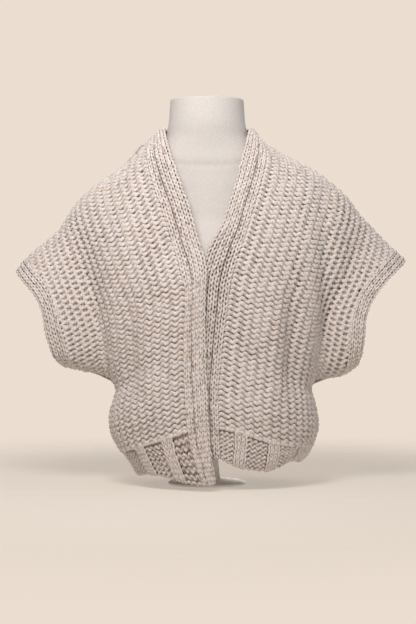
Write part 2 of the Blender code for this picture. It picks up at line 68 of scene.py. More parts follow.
def add(tree, kind, links=(), **settings):
    """A shader node with its settings, its plain socket values and its links from (socket, output) pairs."""
    node = tree.nodes.new("ShaderNode" + kind)
    for name, value in settings.items():
        if name in node.bl_rna.properties:
            setattr(node, name, value)
        else:
            node.inputs[name.replace("_", " ")].default_value = value
    for socket, output in links:
        tree.links.new(output, node.inputs[socket])
    return node


def new_material(name):
    """An empty node material with its output, ready for a shader."""
    material = bpy.data.materials.new(name)
    material.use_nodes = True
    material.node_tree.nodes.clear()
    return material, material.node_tree


# Matt backdrop paper: it takes soft shadows, shows no shine, and has faded out before its edge.
paper, tree = new_material("matt_backdrop_paper")
place = add(tree, "TexCoord").outputs["Object"]
reach = add(tree, "VectorMath", [(0, place)], operation="LENGTH").outputs["Value"]
fade = add(
    tree,
    "MapRange",
    [("Value", reach)],
    interpolation_type="SMOOTHSTEP",
    From_Min=FLOOR_RADIUS * FLOOR_SOLID,
    From_Max=FLOOR_RADIUS,
)
matt = add(tree, "BsdfDiffuse", Color=linear("#9E9892"), Roughness=1.0)
glow = add(tree, "Emission", Color=linear(BACKDROP_HEX), Strength=FLOOR_GLOW)
lit = add(tree, "AddShader", [(0, matt.outputs[0]), (1, glow.outputs[0])])
gone = add(tree, "BsdfTransparent")
mixed = add(tree, "MixShader", [(0, fade.outputs["Result"]), (1, lit.outputs[0]), (2, gone.outputs[0])])
add(tree, "OutputMaterial", [("Surface", mixed.outputs[0])])

turns = np.linspace(0, 2 * math.pi, FLOOR_SIDES, endpoint=False)
corners = [(FLOOR_RADIUS * math.cos(t), FLOOR_RADIUS * math.sin(t), 0) for t in turns]
disc = bpy.data.meshes.new("floor")
disc.from_pydata(corners, [], [range(FLOOR_SIDES)])
disc.materials.append(paper)
floor = bpy.data.objects.new("floor", disc)
bpy.context.scene.collection.objects.link(floor)

for name, place, size, watts, colour in LIGHTS:
    light = bpy.data.lights.new(name, "AREA")
    light.size = size
    light.energy = watts
    light.color = linear(colour)[:3]
    lamp = bpy.data.objects.new(name, light)
    lamp.location = place
    aim = np.array([0.0, 0.0, AIM_HEIGHT]) - np.array(place)
    lamp.rotation_euler = (math.atan2(math.hypot(aim[0], aim[1]), -aim[2]), 0, math.atan2(-aim[0], aim[1]))
    bpy.context.scene.collection.objects.link(lamp)
world = bpy.data.worlds.new("studio")
world.use_nodes = True
tree = world.node_tree
tree.nodes.clear()
seen = add(tree, "Background", Color=linear(BACKDROP_HEX), Strength=1.0)
ambient = add(tree, "Background", Color=linear("#F6F3F0"), Strength=AMBIENT)
ray = add(tree, "LightPath")
camera_ray = ray.outputs["Is Camera Ray"]
sky = add(tree, "MixShader", [(0, camera_ray), (1, ambient.outputs[0]), (2, seen.outputs[0])])
out = tree.nodes.new("ShaderNodeOutputWorld")
tree.links.new(sky.outputs[0], out.inputs["Surface"])
bpy.context.scene.world = world
bpy.context.scene.view_settings.view_transform = "Standard"

lens = bpy.data.cameras.new("lens")
lens.sensor_fit = "VERTICAL"
lens.sensor_height = 36
lens.lens = lens.sensor_height * LENS_DISTANCE / (FRAME_PIXELS[1] * PIXEL)
camera = bpy.data.objects.new("camera", lens)
camera.location = (
    (FRAME_PIXELS[0] / 2 - CENTRE_PIXEL[0]) * PIXEL / 1000,
    -LENS_DISTANCE / 1000,
    (CENTRE_PIXEL[1] - FRAME_PIXELS[1] / 2) * PIXEL / 1000,
)
camera.rotation_euler = (math.pi / 2, 0, 0)
bpy.context.scene.collection.objects.link(camera)
bpy.context.scene.camera = camera

# The fronts: two shaped panels of bulky marled yarn in reverse stocking stitch, purl side out, knitted from
# the rib up with the front half of a short sleeve grown on. They are sewn to the back at the sides, shoulders
# and sleeves, and hang open over the form, the right one over the left. Every stitch here is a real loop.
#
# The garment's shape, in millimetres, is its outer line seen from the front. Depths carry it round the form.
CUFF_WIDTH = 21.0
RIB_SHARE = 0.25  # b value of the line between the hem and the panel
FRONT_DEPTH = 118.0  # the garment's depth ahead of its mid-plane
BACK_DEPTH = 104.0  # the same behind it
# The shares of those depths, below, at each height, above.
FRONT_FULLNESS = [(0, 45, 110, 170, 300, 520), (0.86, 0.96, 1.02, 0.98, 1.0, 0.96)]
BACK_FULLNESS = [(0, 45, 110, 170, 330, 520), (0.82, 0.92, 1.0, 0.94, 1.0, 0.96)]
SLEEVE_DEPTH = 52.0  # half the sleeve's depth
OVERLAP = 11.5  # how far the right front stands over the left one
NECK_DEPTH = 62.0  # how far the back neck edge lies behind the mid-plane
BODY_ROUND = 2.3  # superellipse power of the body's sections
SLEEVE_SPREAD = 0.55  # how far the chest's fullness runs into the sleeve
NORMAL_STEP = 0.05  # step of the surface's normals, in shares of a block
OVERLAP_WAY = 0.55  # a value by which the right front has come down on the form
OVERLAP_TOP = (300, 350)  # heights between which the fronts part
NECK_TURN = 1.3  # b value above which the back turns towards the neck's edge
FOLD_TAPER = 0.12  # how far into its sine a fold starts and ends
SIDE_CLEAR = 20  # folds fade out within this of the mid-plane
CENTRE_CLEAR = 30  # and the back's within this of the centre line

# Outlines from the front. Columns: distance out from the centre line, height.
OUTLINES = {
    "right": {
        "sign": -1,
        "armpit": (141, 158),
        "shoulder": [(85, 513), (129, 471), (151, 456)],
        "overarm": [(151, 456), (172, 441), (205, 404), (219, 381), (235, 366), (262, 344), (283, 321)],
        "sleeve_hem": [(214, 179), (223, 190), (230, 210), (236, 235), (241, 261), (252, 284), (270, 305),
                       (283, 321)],
        "underarm": [(141, 158), (154, 165), (181, 171), (214, 179)],
        "side": [(105, 18), (116, 36), (132, 58), (142, 78), (144, 103), (138, 126), (134, 141), (141, 158)],
        "front_edge": [(6, 11), (24, 70), (32, 145), (33, 230), (32, 291), (39, 321), (53, 367), (66, 408),
                       (80, 449), (88, 488), (85, 513)],
        "inner_edge": [(-9, 13), (-3, 51), (3, 145), (6, 239), (6, 277), (4, 328), (16, 367), (27, 408),
                       (45, 459), (60, 504), (67, 530)],
        "front_hem": [(6, 11), (29, 14), (60, 21), (89, 23), (105, 18)],
        "front_rib": [(26, 89), (60, 76), (102, 62), (128, 52)],
        "front_row": [(33, 221), (75, 206), (112, 184), (141, 158)],
    },
    "left": {
        "sign": 1,
        "armpit": (158, 156),
        "shoulder": [(81, 513), (111, 493), (156, 471)],
        "overarm": [(156, 471), (187, 448), (210, 426), (223, 408), (241, 388), (262, 366), (294, 336)],
        "sleeve_hem": [(222, 178), (226, 193), (229, 216), (231, 246), (241, 276), (257, 298), (275, 317),
                       (294, 336)],
        "underarm": [(158, 156), (178, 161), (202, 165), (222, 178)],
        "side": [(141, 37), (150, 46), (159, 66), (165, 88), (163, 108), (159, 126), (154, 144), (158, 156)],
        "front_edge": [(19, 50), (17, 100), (16, 145), (19, 172), (24, 221), (29, 258), (36, 307), (47, 344),
                       (57, 374), (68, 412), (80, 452), (86, 492), (81, 513)],
        "inner_edge": [(-12, 48), (-14, 100), (-15, 145), (-14, 190), (-10, 258), (-4, 322), (6, 351),
                       (23, 381), (39, 427), (50, 466), (60, 504), (67, 530)],
        "front_hem": [(19, 50), (36, 41), (62, 33), (83, 30), (105, 34), (126, 42), (141, 37)],
        "front_rib": [(17, 92), (44, 87), (86, 72), (124, 64), (156, 60)],
        "front_row": [(24, 221), (79, 204), (122, 181), (158, 156)],
    },
}
for outline in OUTLINES.values():
    # The back shares the outline, and runs from the centre line in place of the front edge.
    side_hem, side_rib = outline["side"][0], outline["front_rib"][-1]
    outline["back_edge"] = [(0, 42), (0, 150), (0, 300), (0, 496)]
    outline["back_hem"] = [(0, 42), (60, 0.5 * (42 + side_hem[1])), side_hem]
    outline["back_rib"] = [(0, 90), (70, 84), side_rib]
    outline["back_row"] = [(0, 222), (80, 208), outline["armpit"]]
    outline["back_shoulder"] = [(0, 496), (44, 500)] + outline["shoulder"]

# Troughs (depth above 0) and ridges (below 0) of the cloth, each along a line seen from the front or back.
# Columns: sheet, side, out and height at the line's start, the same at its end, half width, depth.
FOLDS = [
    ("front", "right", 116, 285, 108, 132, 13, 8.0),
    ("front", "right", 198, 392, 152, 262, 17, 5.0),
    ("front", "right", 88, 270, 84, 120, 16, -4.0),
    ("front", "left", 124, 290, 122, 136, 13, 9.0),
    ("front", "left", 172, 430, 176, 205, 13, 7.0),
    ("front", "left", 98, 280, 96, 120, 16, -4.0),
    ("back", "right", 114, 300, 106, 130, 13, 7.0),
    ("back", "right", 190, 390, 158, 250, 16, 6.0),
    ("back", "right", 40, 330, 52, 140, 20, 4.0),
    ("back", "left", 126, 290, 118, 128, 13, 7.5),
    ("back", "left", 176, 425, 170, 220, 14, 6.0),
    ("back", "left", 30, 300, 46, 130, 18, 4.0),
]

def curve(points, share):
    """Points of a smooth curve through the given ones, at shares 0 to 1 of its length."""
    points = np.array(points, float)
    steps = np.linalg.norm(np.diff(points, axis=0), axis=1)
    knots = np.concatenate([[0], np.cumsum(steps)]) / steps.sum()
    slopes = np.gradient(points, knots, axis=0)
    share = np.clip(np.asarray(share, float), 0, 1)
    k = np.clip(np.searchsorted(knots, share, side="right") - 1, 0, len(knots) - 2)
    width = knots[k + 1] - knots[k]
    t = (share - knots[k]) / width
    t, width = t[..., None], width[..., None]
    start = (2 * t**3 - 3 * t**2 + 1) * points[k] + (t**3 - 2 * t**2 + t) * width * slopes[k]
    end = (3 * t**2 - 2 * t**3) * points[k + 1] + (t**3 - t**2) * width * slopes[k + 1]
    return start + end


def at_height(points, height):
    """A point of a rising curve at the given height."""
    fine = curve(points, np.linspace(0, 1, 200))
    out = np.interp(height, fine[:, 1], fine[:, 0])
    return np.stack([out, np.broadcast_to(height, out.shape)], axis=-1)


def blend(bottom, top, left, right, u, v):
    """A surface patch between four edges, given as functions of their shares u and v."""
    u, v = u[..., None], v[..., None]
    level, upright = u[..., 0], v[..., 0]
    sides = (1 - v) * bottom(level) + v * top(level) + (1 - u) * left(upright) + u * right(upright)
    zero, one = np.zeros(u.shape[:-1]), np.ones(u.shape[:-1])
    corners = (1 - u) * (1 - v) * bottom(zero) + u * (1 - v) * bottom(one)
    corners = corners + (1 - u) * v * top(zero) + u * v * top(one)
    return sides - corners


def ease(value, start, end):
    """A smooth step from 0 at start to 1 at end."""
    t = np.clip((value - start) / (end - start), 0, 1)
    return t * t * (3 - 2 * t)


def edges_between(outline, sheet, low_row, high_row):
    """The edge functions of a patch of the body, between two of its rows."""
    low, high = outline[low_row], outline[high_row]
    edge = outline["front_edge"] if sheet == "front" else outline["back_edge"]
    side = outline["side"]
    return (
        lambda u: curve(low, u),
        lambda u: curve(high, u),
        lambda v: at_height(edge, low[0][1] + (high[0][1] - low[0][1]) * v),
        lambda v: at_height(side, low[-1][1] + (high[-1][1] - low[-1][1]) * v),
    )


def from_front(side, sheet, a, b):
    """Where a point of the cloth lies as seen from the front: distance out and height.

    a runs from the front or back edge (0) to the side seam or armpit (1) and on to the sleeve's hem (2).
    b runs from the hem (0) to the armpit's row (1) and on to the shoulder (2).
    """
    outline = OUTLINES[side]
    flat = np.zeros(a.shape + (2,))
    rib, body, upper = b < RIB_SHARE, (b >= RIB_SHARE) & (b < 1), b >= 1
    for part, low_row, high_row, low, high in (
        (rib, "_hem", "_rib", 0, RIB_SHARE),
        (body, "_rib", "_row", RIB_SHARE, 1),
    ):
        edges = edges_between(outline, sheet, sheet + low_row, sheet + high_row)
        flat[part] = blend(*edges, np.clip(a[part], 0, 1), (b[part] - low) / (high - low))
    row, edge = outline[sheet + "_row"], outline[sheet + "_edge"]
    shoulder = outline["shoulder"] if sheet == "front" else outline["back_shoulder"]

    def bottom(u):
        """The armpit's row, then the sleeve's underside."""
        return np.where((u < 0.5)[..., None], curve(row, 2 * u), curve(outline["underarm"], 2 * u - 1))

    def top(u):
        """The shoulder, then the sleeve's top."""
        return np.where((u < 0.5)[..., None], curve(shoulder, 2 * u), curve(outline["overarm"], 2 * u - 1))

    flat[upper] = blend(
        bottom,
        top,
        lambda v: at_height(edge, row[0][1] + (shoulder[0][1] - row[0][1]) * v),
        lambda v: curve(outline["sleeve_hem"], v),
        a[upper] / 2,
        b[upper] - 1,
    )
    return flat


def depth_of(side, sheet, a, b, flat):
    """How far the cloth stands from the mid-plane at a point of it."""
    outline = OUTLINES[side]
    out, height = flat[..., 0], flat[..., 1]
    low, rib, top = outline["side"][0][1], outline["front_rib"][-1][1], outline["armpit"][1]
    side_height = np.interp(b, [0, RIB_SHARE, 1], [low, rib, top])
    rise = np.clip(b - 1, 0, 1)
    half = at_height(outline["side"], side_height)[..., 0]
    half = np.where(b > 1, outline["armpit"][0] * (1 + SLEEVE_SPREAD * rise**1.3), half)
    across = (1 - np.clip(out / half, 0, 1) ** BODY_ROUND) ** (1 / BODY_ROUND)
    if sheet == "front":
        full = FRONT_DEPTH * np.interp(height, *FRONT_FULLNESS)
    else:
        full = BACK_DEPTH * np.interp(height, *BACK_FULLNESS)
    # The body's depth runs out at the shoulder, the sleeve is a flat tube, and the powers blend the two.
    body = full * across * (1 - rise**2.5) ** 0.5
    sleeve = SLEEVE_DEPTH * np.sqrt(np.clip(4 * rise**0.8 * (1 - rise**0.8), 0, 1))
    depth = (body**2.5 + sleeve**2.5) ** 0.4
    if sheet == "back":
        # The back neck edge runs round the neck behind the mid-plane.
        neck = NECK_DEPTH * np.sqrt(np.clip(1 - (out / outline["shoulder"][0][0]) ** 2, 0, 1))
        depth = (depth**3 + (neck * ease(b, NECK_TURN, 2.0)) ** 3) ** (1 / 3)
    elif side == "right":
        depth = depth + OVERLAP * (1 - ease(a, 0.0, OVERLAP_WAY)) * (1 - ease(height, *OVERLAP_TOP))
    return depth


def folds_of(side, sheet, flat):
    """How deep the folds press the cloth in, along its normal."""
    press = np.zeros(flat.shape[:-1])
    for fold_sheet, fold_side, out0, height0, out1, height1, width, depth in FOLDS:
        if (fold_sheet, fold_side) != (sheet, side):
            continue
        start, end = np.array([out0, height0]), np.array([out1, height1])
        along = end - start
        share = np.clip(((flat - start) @ along) / (along @ along), 0, 1)
        gap = np.linalg.norm(flat - start - share[..., None] * along, axis=-1)
        taper = np.sin(np.pi * (FOLD_TAPER + (1 - 2 * FOLD_TAPER) * share))
        press += depth * np.exp(-((gap / width) ** 2)) * taper
    return press * ease(flat[..., 0], 0, CENTRE_CLEAR) if sheet == "back" else press


def normals_of(surface, a, b, facing):
    """Outward normals of a surface, over a step wide enough for a wall that doesn't cross itself."""
    a_end, b_start = np.where(b < 1, 1.0, 2.0), np.where(a > 1, 1.0, 0.0)
    after, before = np.clip(a + NORMAL_STEP, 0, a_end), np.clip(a - NORMAL_STEP, 0, a_end)
    across = surface(after, b) - surface(before, b)
    up = surface(a, np.clip(b + NORMAL_STEP, b_start, 2)) - surface(a, np.clip(b - NORMAL_STEP, b_start, 2))
    normal = np.cross(across, up) * facing
    return normal / np.maximum(np.linalg.norm(normal, axis=-1, keepdims=True), 1e-9)


def cloth(side, sheet, a, b):
    """The cloth's outer surface and its outward normals at values of a and b, in millimetres."""
    sign = OUTLINES[side]["sign"]
    depth_sign = -1 if sheet == "front" else 1
    facing = -depth_sign * sign

    def smooth(a, b):
        """The cloth's points before it folds."""
        flat = from_front(side, sheet, a, b)
        depth = depth_of(side, sheet, a, b, flat)
        return np.stack([sign * flat[..., 0], depth_sign * depth, flat[..., 1]], axis=-1)

    def folded(a, b):
        """Its points with the folds pressed in."""
        points = smooth(a, b)
        press = folds_of(side, sheet, np.abs(points[..., [0, 2]]))
        press = press * np.clip(np.abs(points[..., 1]) / SIDE_CLEAR, 0, 1)
        return points - normals_of(smooth, a, b, facing) * press[..., None]

    return folded(a, b), normals_of(folded, a, b, facing)


def cuff_start(side, b, inset):
    """The a value that lies inset millimetres in from the sleeve's hem, on the row b."""
    shares = np.linspace(1, 2, 41)
    rows = np.linspace(1, 2, 15)
    grid_a, grid_b = np.meshgrid(shares, rows)
    flat = from_front(side, "front", grid_a, grid_b)
    lengths = np.linalg.norm(np.diff(flat, axis=1), axis=-1).sum(axis=1)
    return 2 - inset / np.interp(b, rows, lengths)


# The yarn: a bulky soft single-ply marl, loosely spun from wool and a synthetic fibre in cream, pale
# pink-beige, peach and light grey. Its halo of fine fibres scatters light and softens every edge.
YARN_RADIUS = 3.2  # of the bulky yarn in the fronts and back
MARL = [
    (0.0, "#D3CAC4"),
    (0.2, "#F4EEEA"),
    (0.42, "#EBDAD2"),
    (0.58, "#F6F1ED"),
    (0.78, "#EBD2C0"),
    (1.0, "#C8C2BE"),
]
MARL_RANGE = (0.3, 0.72)  # noise values that the marl's colours are spread over
# The colour of the painted shade that the yarn is darkened towards where it lies deep between the loops.
PAINTED_SHADE_HEX = "#7D685B"
PAINTED_SHADE_RANGE = (0.42, 0.82)  # lift values from the deepest shade to none
FLECK_MM = (11, 7)  # a fleck of colour, along the yarn and round it
FIBRE_MM = (5, 0.7)  # a tuft of fibres, along and round; single fibres are too fine to show
FIBRE_SLANT = 0.3  # radians, the yarn's twist
FIBRE_SHADES = (0.74, 1.08)  # the marl's brightness between the tufts and on them


def finish(tree, colour, height, strength, distance, **settings):
    """The relief, the surface and the output that each material ends with."""
    bump = add(tree, "Bump", [("Height", height)], Strength=strength, Distance=distance)
    links = [("Base Color", colour), ("Normal", bump.outputs["Normal"])]
    shader = add(tree, "BsdfPrincipled", links, **settings)
    add(tree, "OutputMaterial", [("Surface", shader.outputs["BSDF"])])


def yarn_material(name):
    """Marled yarn. Its UV map runs along it and round it, in metres, and lift tells how far out it lies;
    where it lies deep, its colour is darkened as painted shade.
    """
    material, tree = new_material(name)
    place = add(tree, "UVMap", uv_map="yarn").outputs["UV"]
    flecks = (1000 / FLECK_MM[0], 1000 / FLECK_MM[1], 1)
    along = add(tree, "Mapping", [("Vector", place)], Scale=flecks).outputs["Vector"]
    fleck = add(tree, "TexNoise", [("Vector", along)], Scale=1.0, Detail=2.0, Roughness=0.6)
    marl = add(tree, "ValToRGB", [("Fac", fleck.outputs["Fac"])])
    stops = marl.color_ramp.elements
    low, high = MARL_RANGE
    stops[0].position, stops[1].position = low, high
    stops[0].color, stops[1].color = linear(MARL[0][1]), linear(MARL[-1][1])
    for share, code in MARL[1:-1]:
        stops.new(low + (high - low) * share).color = linear(code)
    tufts = (1000 / FIBRE_MM[0], 1000 / FIBRE_MM[1], 1)
    slant = (0, 0, FIBRE_SLANT)
    drawn = add(tree, "Mapping", [("Vector", place)], Scale=tufts, Rotation=slant).outputs["Vector"]
    fibre = add(tree, "TexNoise", [("Vector", drawn)], Scale=1.0, Detail=3.0, Roughness=0.7).outputs["Fac"]
    dim, bright = FIBRE_SHADES
    shade = add(tree, "MapRange", [("Value", fibre)], From_Min=0.3, From_Max=0.7, To_Min=dim, To_Max=bright)
    # A colour mix takes its two colours in at sockets 6 and 7, and gives the result at 2.
    darkening = {"data_type": "RGBA", "blend_type": "MULTIPLY", "Factor": 1.0}
    colours = [(6, marl.outputs["Color"]), (7, shade.outputs["Result"])]
    tinted = add(tree, "Mix", colours, **darkening).outputs[2]
    # Painted shade: where the yarn lies deep in the fabric, between the loops and on the sides of each
    # strand, its colour is darkened towards a dark brown.
    lift = add(tree, "Attribute", attribute_name="lift").outputs["Fac"]
    deep, flush = PAINTED_SHADE_RANGE
    depth = add(tree, "MapRange", [("Value", lift)], From_Min=deep, From_Max=flush, To_Min=0.95, To_Max=0.0)
    sunk = add(tree, "Mix", [(0, depth.outputs["Result"]), (6, tinted)], **darkening)
    sunk.inputs[7].default_value = linear(PAINTED_SHADE_HEX)
    wool = {"Roughness": 0.95, "Specular_IOR_Level": 0.12, "Sheen_Weight": 0.25, "Sheen_Roughness": 0.6}
    finish(tree, sunk.outputs[2], fibre, 0.8, 0.0012, **wool)
    return material


def grain(tree, dark, light, grain_mm, ends=(0.35, 0.65), **settings):
    """Fine grain of two colours through a solid material: its colour and its height."""
    place = add(tree, "TexCoord").outputs["Object"]
    noise = add(tree, "TexNoise", [("Vector", place)], Scale=1000 / grain_mm, **settings).outputs["Fac"]
    tone = add(tree, "ValToRGB", [("Fac", noise)])
    for stop, position, code in zip(tone.color_ramp.elements, ends, (dark, light)):
        stop.position = position
        stop.color = linear(code)
    return tone.outputs["Color"], noise


def fabric_material(name, dark, light, grain_mm):
    """Knitted cloth seen as a whole, for the layer behind the loops and for the garment's inside."""
    material, tree = new_material(name)
    colour, _ = grain(tree, dark, light, grain_mm, Detail=3.0, Roughness=0.6)
    place = add(tree, "TexCoord").outputs["Object"]
    loop_mm = 1.6 * grain_mm
    loops = add(tree, "TexVoronoi", [("Vector", place)], Scale=1000 / loop_mm).outputs["Distance"]
    finish(tree, colour, loops, 0.7, 0.002, Roughness=1.0, Specular_IOR_Level=0.1)
    return material


marled_wool = yarn_material("marled_wool_yarn")
# The same wool deep between the loops, painted in the shade that falls there since little light reaches it:
# dark, brownish and without any shine.
wool_in_shade = fabric_material("wool_in_painted_shade", "#5E4B40", "#8F7B6E", 6.0)
# And the garment's inside, seen from farther off: matt, even, and a little darker than the face.
wool_inside = fabric_material("wool_fabric_inside", "#B5A294", "#E0D2C6", 4.0)

# The knitting: each row is a course of loops drawn through the row below.
STITCH, SLEEVE_STITCH = 14.6, 11.6  # width of a stitch, at the front edge and on the sleeve
STITCH_WAY = (100, 190)  # between these ways from the edge the stitches narrow
ROW = 7.7  # height of a row
LOOP_HEIGHT = 0.8  # half a loop's height, in rows
PURL_BULGE, PLAIN_BULGE = 0.1, 0.22  # how far a loop's legs splay, in stitches
LOOP_DEPTH = 2.1  # half the way a loop runs through the fabric
LEAN = 0.12  # how far a loop's head leans along the row, in stitches
SEAM_REACH = 2.0  # how far a row's last stitch runs on into the seam
YARN_INSET = 1.6  # how far the yarn's middle lies under the cloth's outer face
SHELL_INSET = 3.8  # where the fabric's backing lies
SHELL_WALL = 1.2  # and how thick it is
LOOP_STEPS = 10  # points along one loop
YARN_SIDES = 6
THICK_WAVES = (4.3, 9.1, 21.0)  # lengths over which the yarn runs thick and thin
THICK_SHARE = 0.12  # how much thicker and thinner, as a share of its radius
CUT_END = 0.3  # radius of the yarn's ends, as a share of the rest
SKEIN = 4000  # a course takes its marl from anywhere in this length of yarn
WOBBLE = (0.35, 0.045, 0.3)  # how far stitches stray: along the row, up it in rows, and in depth
CLOTH_STEPS = 120  # steps of a half's table along a, and along b above the armpit
RIB_STEPS, BODY_STEPS = 25, 70  # steps along b in the rib, and from there to the armpit
FAN = (1.3, 1.35)  # a and b values by which the rows have fanned out past the armpit
OUTWARD_TAPER = 0.05  # how much lower each column's top is than the last one's, at least
FEWEST_POINTS = 4  # of a row that is worth knitting
CARRY = 3  # points that a row carries on for past the cloth
PANEL_UNDER_CUFF, YARN_UNDER_CUFF = 3, 7  # how far the backing and the loops run on under the cuff
LONGEST_ROW = 600
NARROWEST = 0.4  # width that the first and last stitch of a row must have, in stitches


def joined(parts):
    """Several meshes' arrays as one: points, faces, and a material index per face."""
    points, faces, marks, count = [], [], [], 0
    for part_points, part_faces, part_marks in parts:
        points.append(part_points)
        faces.append(part_faces + count)
        marks.append(part_marks)
        count += len(part_points)
    return np.concatenate(points), np.concatenate(faces), np.concatenate(marks)


def piece(name, points, faces, materials, marks=None, uv=None, lift=None):
    """A smooth mesh object from arrays in millimetres, riding on the garment's body."""
    mesh = bpy.data.meshes.new(name)
    mesh.vertices.add(len(points))
    mesh.vertices.foreach_set("co", (points / 1000).astype(np.float32).ravel())
    mesh.loops.add(faces.size)
    mesh.loops.foreach_set("vertex_index", faces.astype(np.int32).ravel())
    mesh.polygons.add(len(faces))
    mesh.polygons.foreach_set("loop_start", np.arange(0, faces.size, faces.shape[1], dtype=np.int32))
    for material in materials:
        mesh.materials.append(material)
    if marks is not None:
        mesh.polygons.foreach_set("material_index", marks.astype(np.int32))
    mesh.update(calc_edges=True)
    if uv is not None:
        layer = mesh.uv_layers.new(name="yarn")
        layer.data.foreach_set("uv", (uv / 1000).astype(np.float32).ravel())
    if lift is not None:
        layer = mesh.attributes.new("lift", "FLOAT", "POINT")
        layer.data.foreach_set("value", lift.astype(np.float32))
    mesh.validate()
    mesh.shade_smooth()
    item = bpy.data.objects.new(name, mesh)
    bpy.context.scene.collection.objects.link(item)
    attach(item, "root")
    return item


def tubes(yarn, seed):
    """Yarn along lines of points: one mesh's points, faces, UV per corner and lift per point."""
    random = np.random.default_rng(seed)
    turn = np.linspace(0, 2 * np.pi, YARN_SIDES, endpoint=False)
    points, faces, uvs, lift, count = [], [], [], [], 0
    for line, normal, rise, size in yarn:
        tangent = np.gradient(line, axis=0)
        tangent /= np.maximum(np.linalg.norm(tangent, axis=1, keepdims=True), 1e-6)
        out = normal - (normal * tangent).sum(1, keepdims=True) * tangent
        out /= np.maximum(np.linalg.norm(out, axis=1, keepdims=True), 1e-6)
        side = np.cross(tangent, out)
        steps = np.linalg.norm(np.diff(line, axis=0), axis=1)
        length = np.concatenate([[0], np.cumsum(steps)]) + random.uniform(0, SKEIN)
        waves = sum(np.sin(length / w + random.uniform(0, 6)) for w in THICK_WAVES) / len(THICK_WAVES)
        girth = size * (1 + THICK_SHARE * waves)
        girth[[0, -1]] *= CUT_END
        ring = np.cos(turn)[None, :, None] * out[:, None] + np.sin(turn)[None, :, None] * side[:, None]
        body = line[:, None] + girth[:, None, None] * ring
        points.append(body.reshape(-1, 3))
        # How far out each point of the yarn lies; the yarn's material paints shade where this is low.
        reach = (size + rise.max())[:, None]
        height = rise[:, None] + np.cos(turn)[None] * size[:, None]
        lift.append((0.5 + 0.5 * height / reach).clip(0, 1).ravel())
        k, j = np.meshgrid(np.arange(len(line) - 1), np.arange(YARN_SIDES), indexing="ij")
        near, far = j, (j + 1) % YARN_SIDES
        corner = [(k, near), (k, far), (k + 1, far), (k + 1, near)]
        faces.append(count + np.stack([a * YARN_SIDES + b for a, b in corner], -1).reshape(-1, 4))
        around = [near, near + 1, near + 1, near]
        round_mm = 2 * np.pi * size.mean() / YARN_SIDES
        uv = [np.stack([length[a], b * round_mm], -1) for (a, _), b in zip(corner, around)]
        uvs.append(np.stack(uv, -2).reshape(-1, 2))
        count += len(line) * YARN_SIDES
    return np.concatenate(points), np.concatenate(faces), np.concatenate(uvs), np.concatenate(lift)


def unit(vectors):
    """Vectors made one long."""
    return vectors / np.maximum(np.linalg.norm(vectors, axis=-1, keepdims=True), 1e-6)


def upper_rows(count):
    """b values from the armpit's row (1) to the shoulder (2), closer together at both ends."""
    return 1.5 - 0.5 * np.cos(np.linspace(0, np.pi, count))


def between(tables, row, column):
    """Values of the points' and the normals' tables between their own rows and columns."""
    i = np.minimum(row.astype(int), tables[0].shape[0] - 2)
    j = np.minimum(column.astype(int), tables[0].shape[1] - 2)
    u, v = (row - i)[..., None], (column - j)[..., None]
    found = []
    for table in tables:
        low = (1 - v) * table[i, j] + v * table[i, j + 1]
        high = (1 - v) * table[i + 1, j] + v * table[i + 1, j + 1]
        found.append((1 - u) * low + u * high)
    return found[0], unit(found[1])


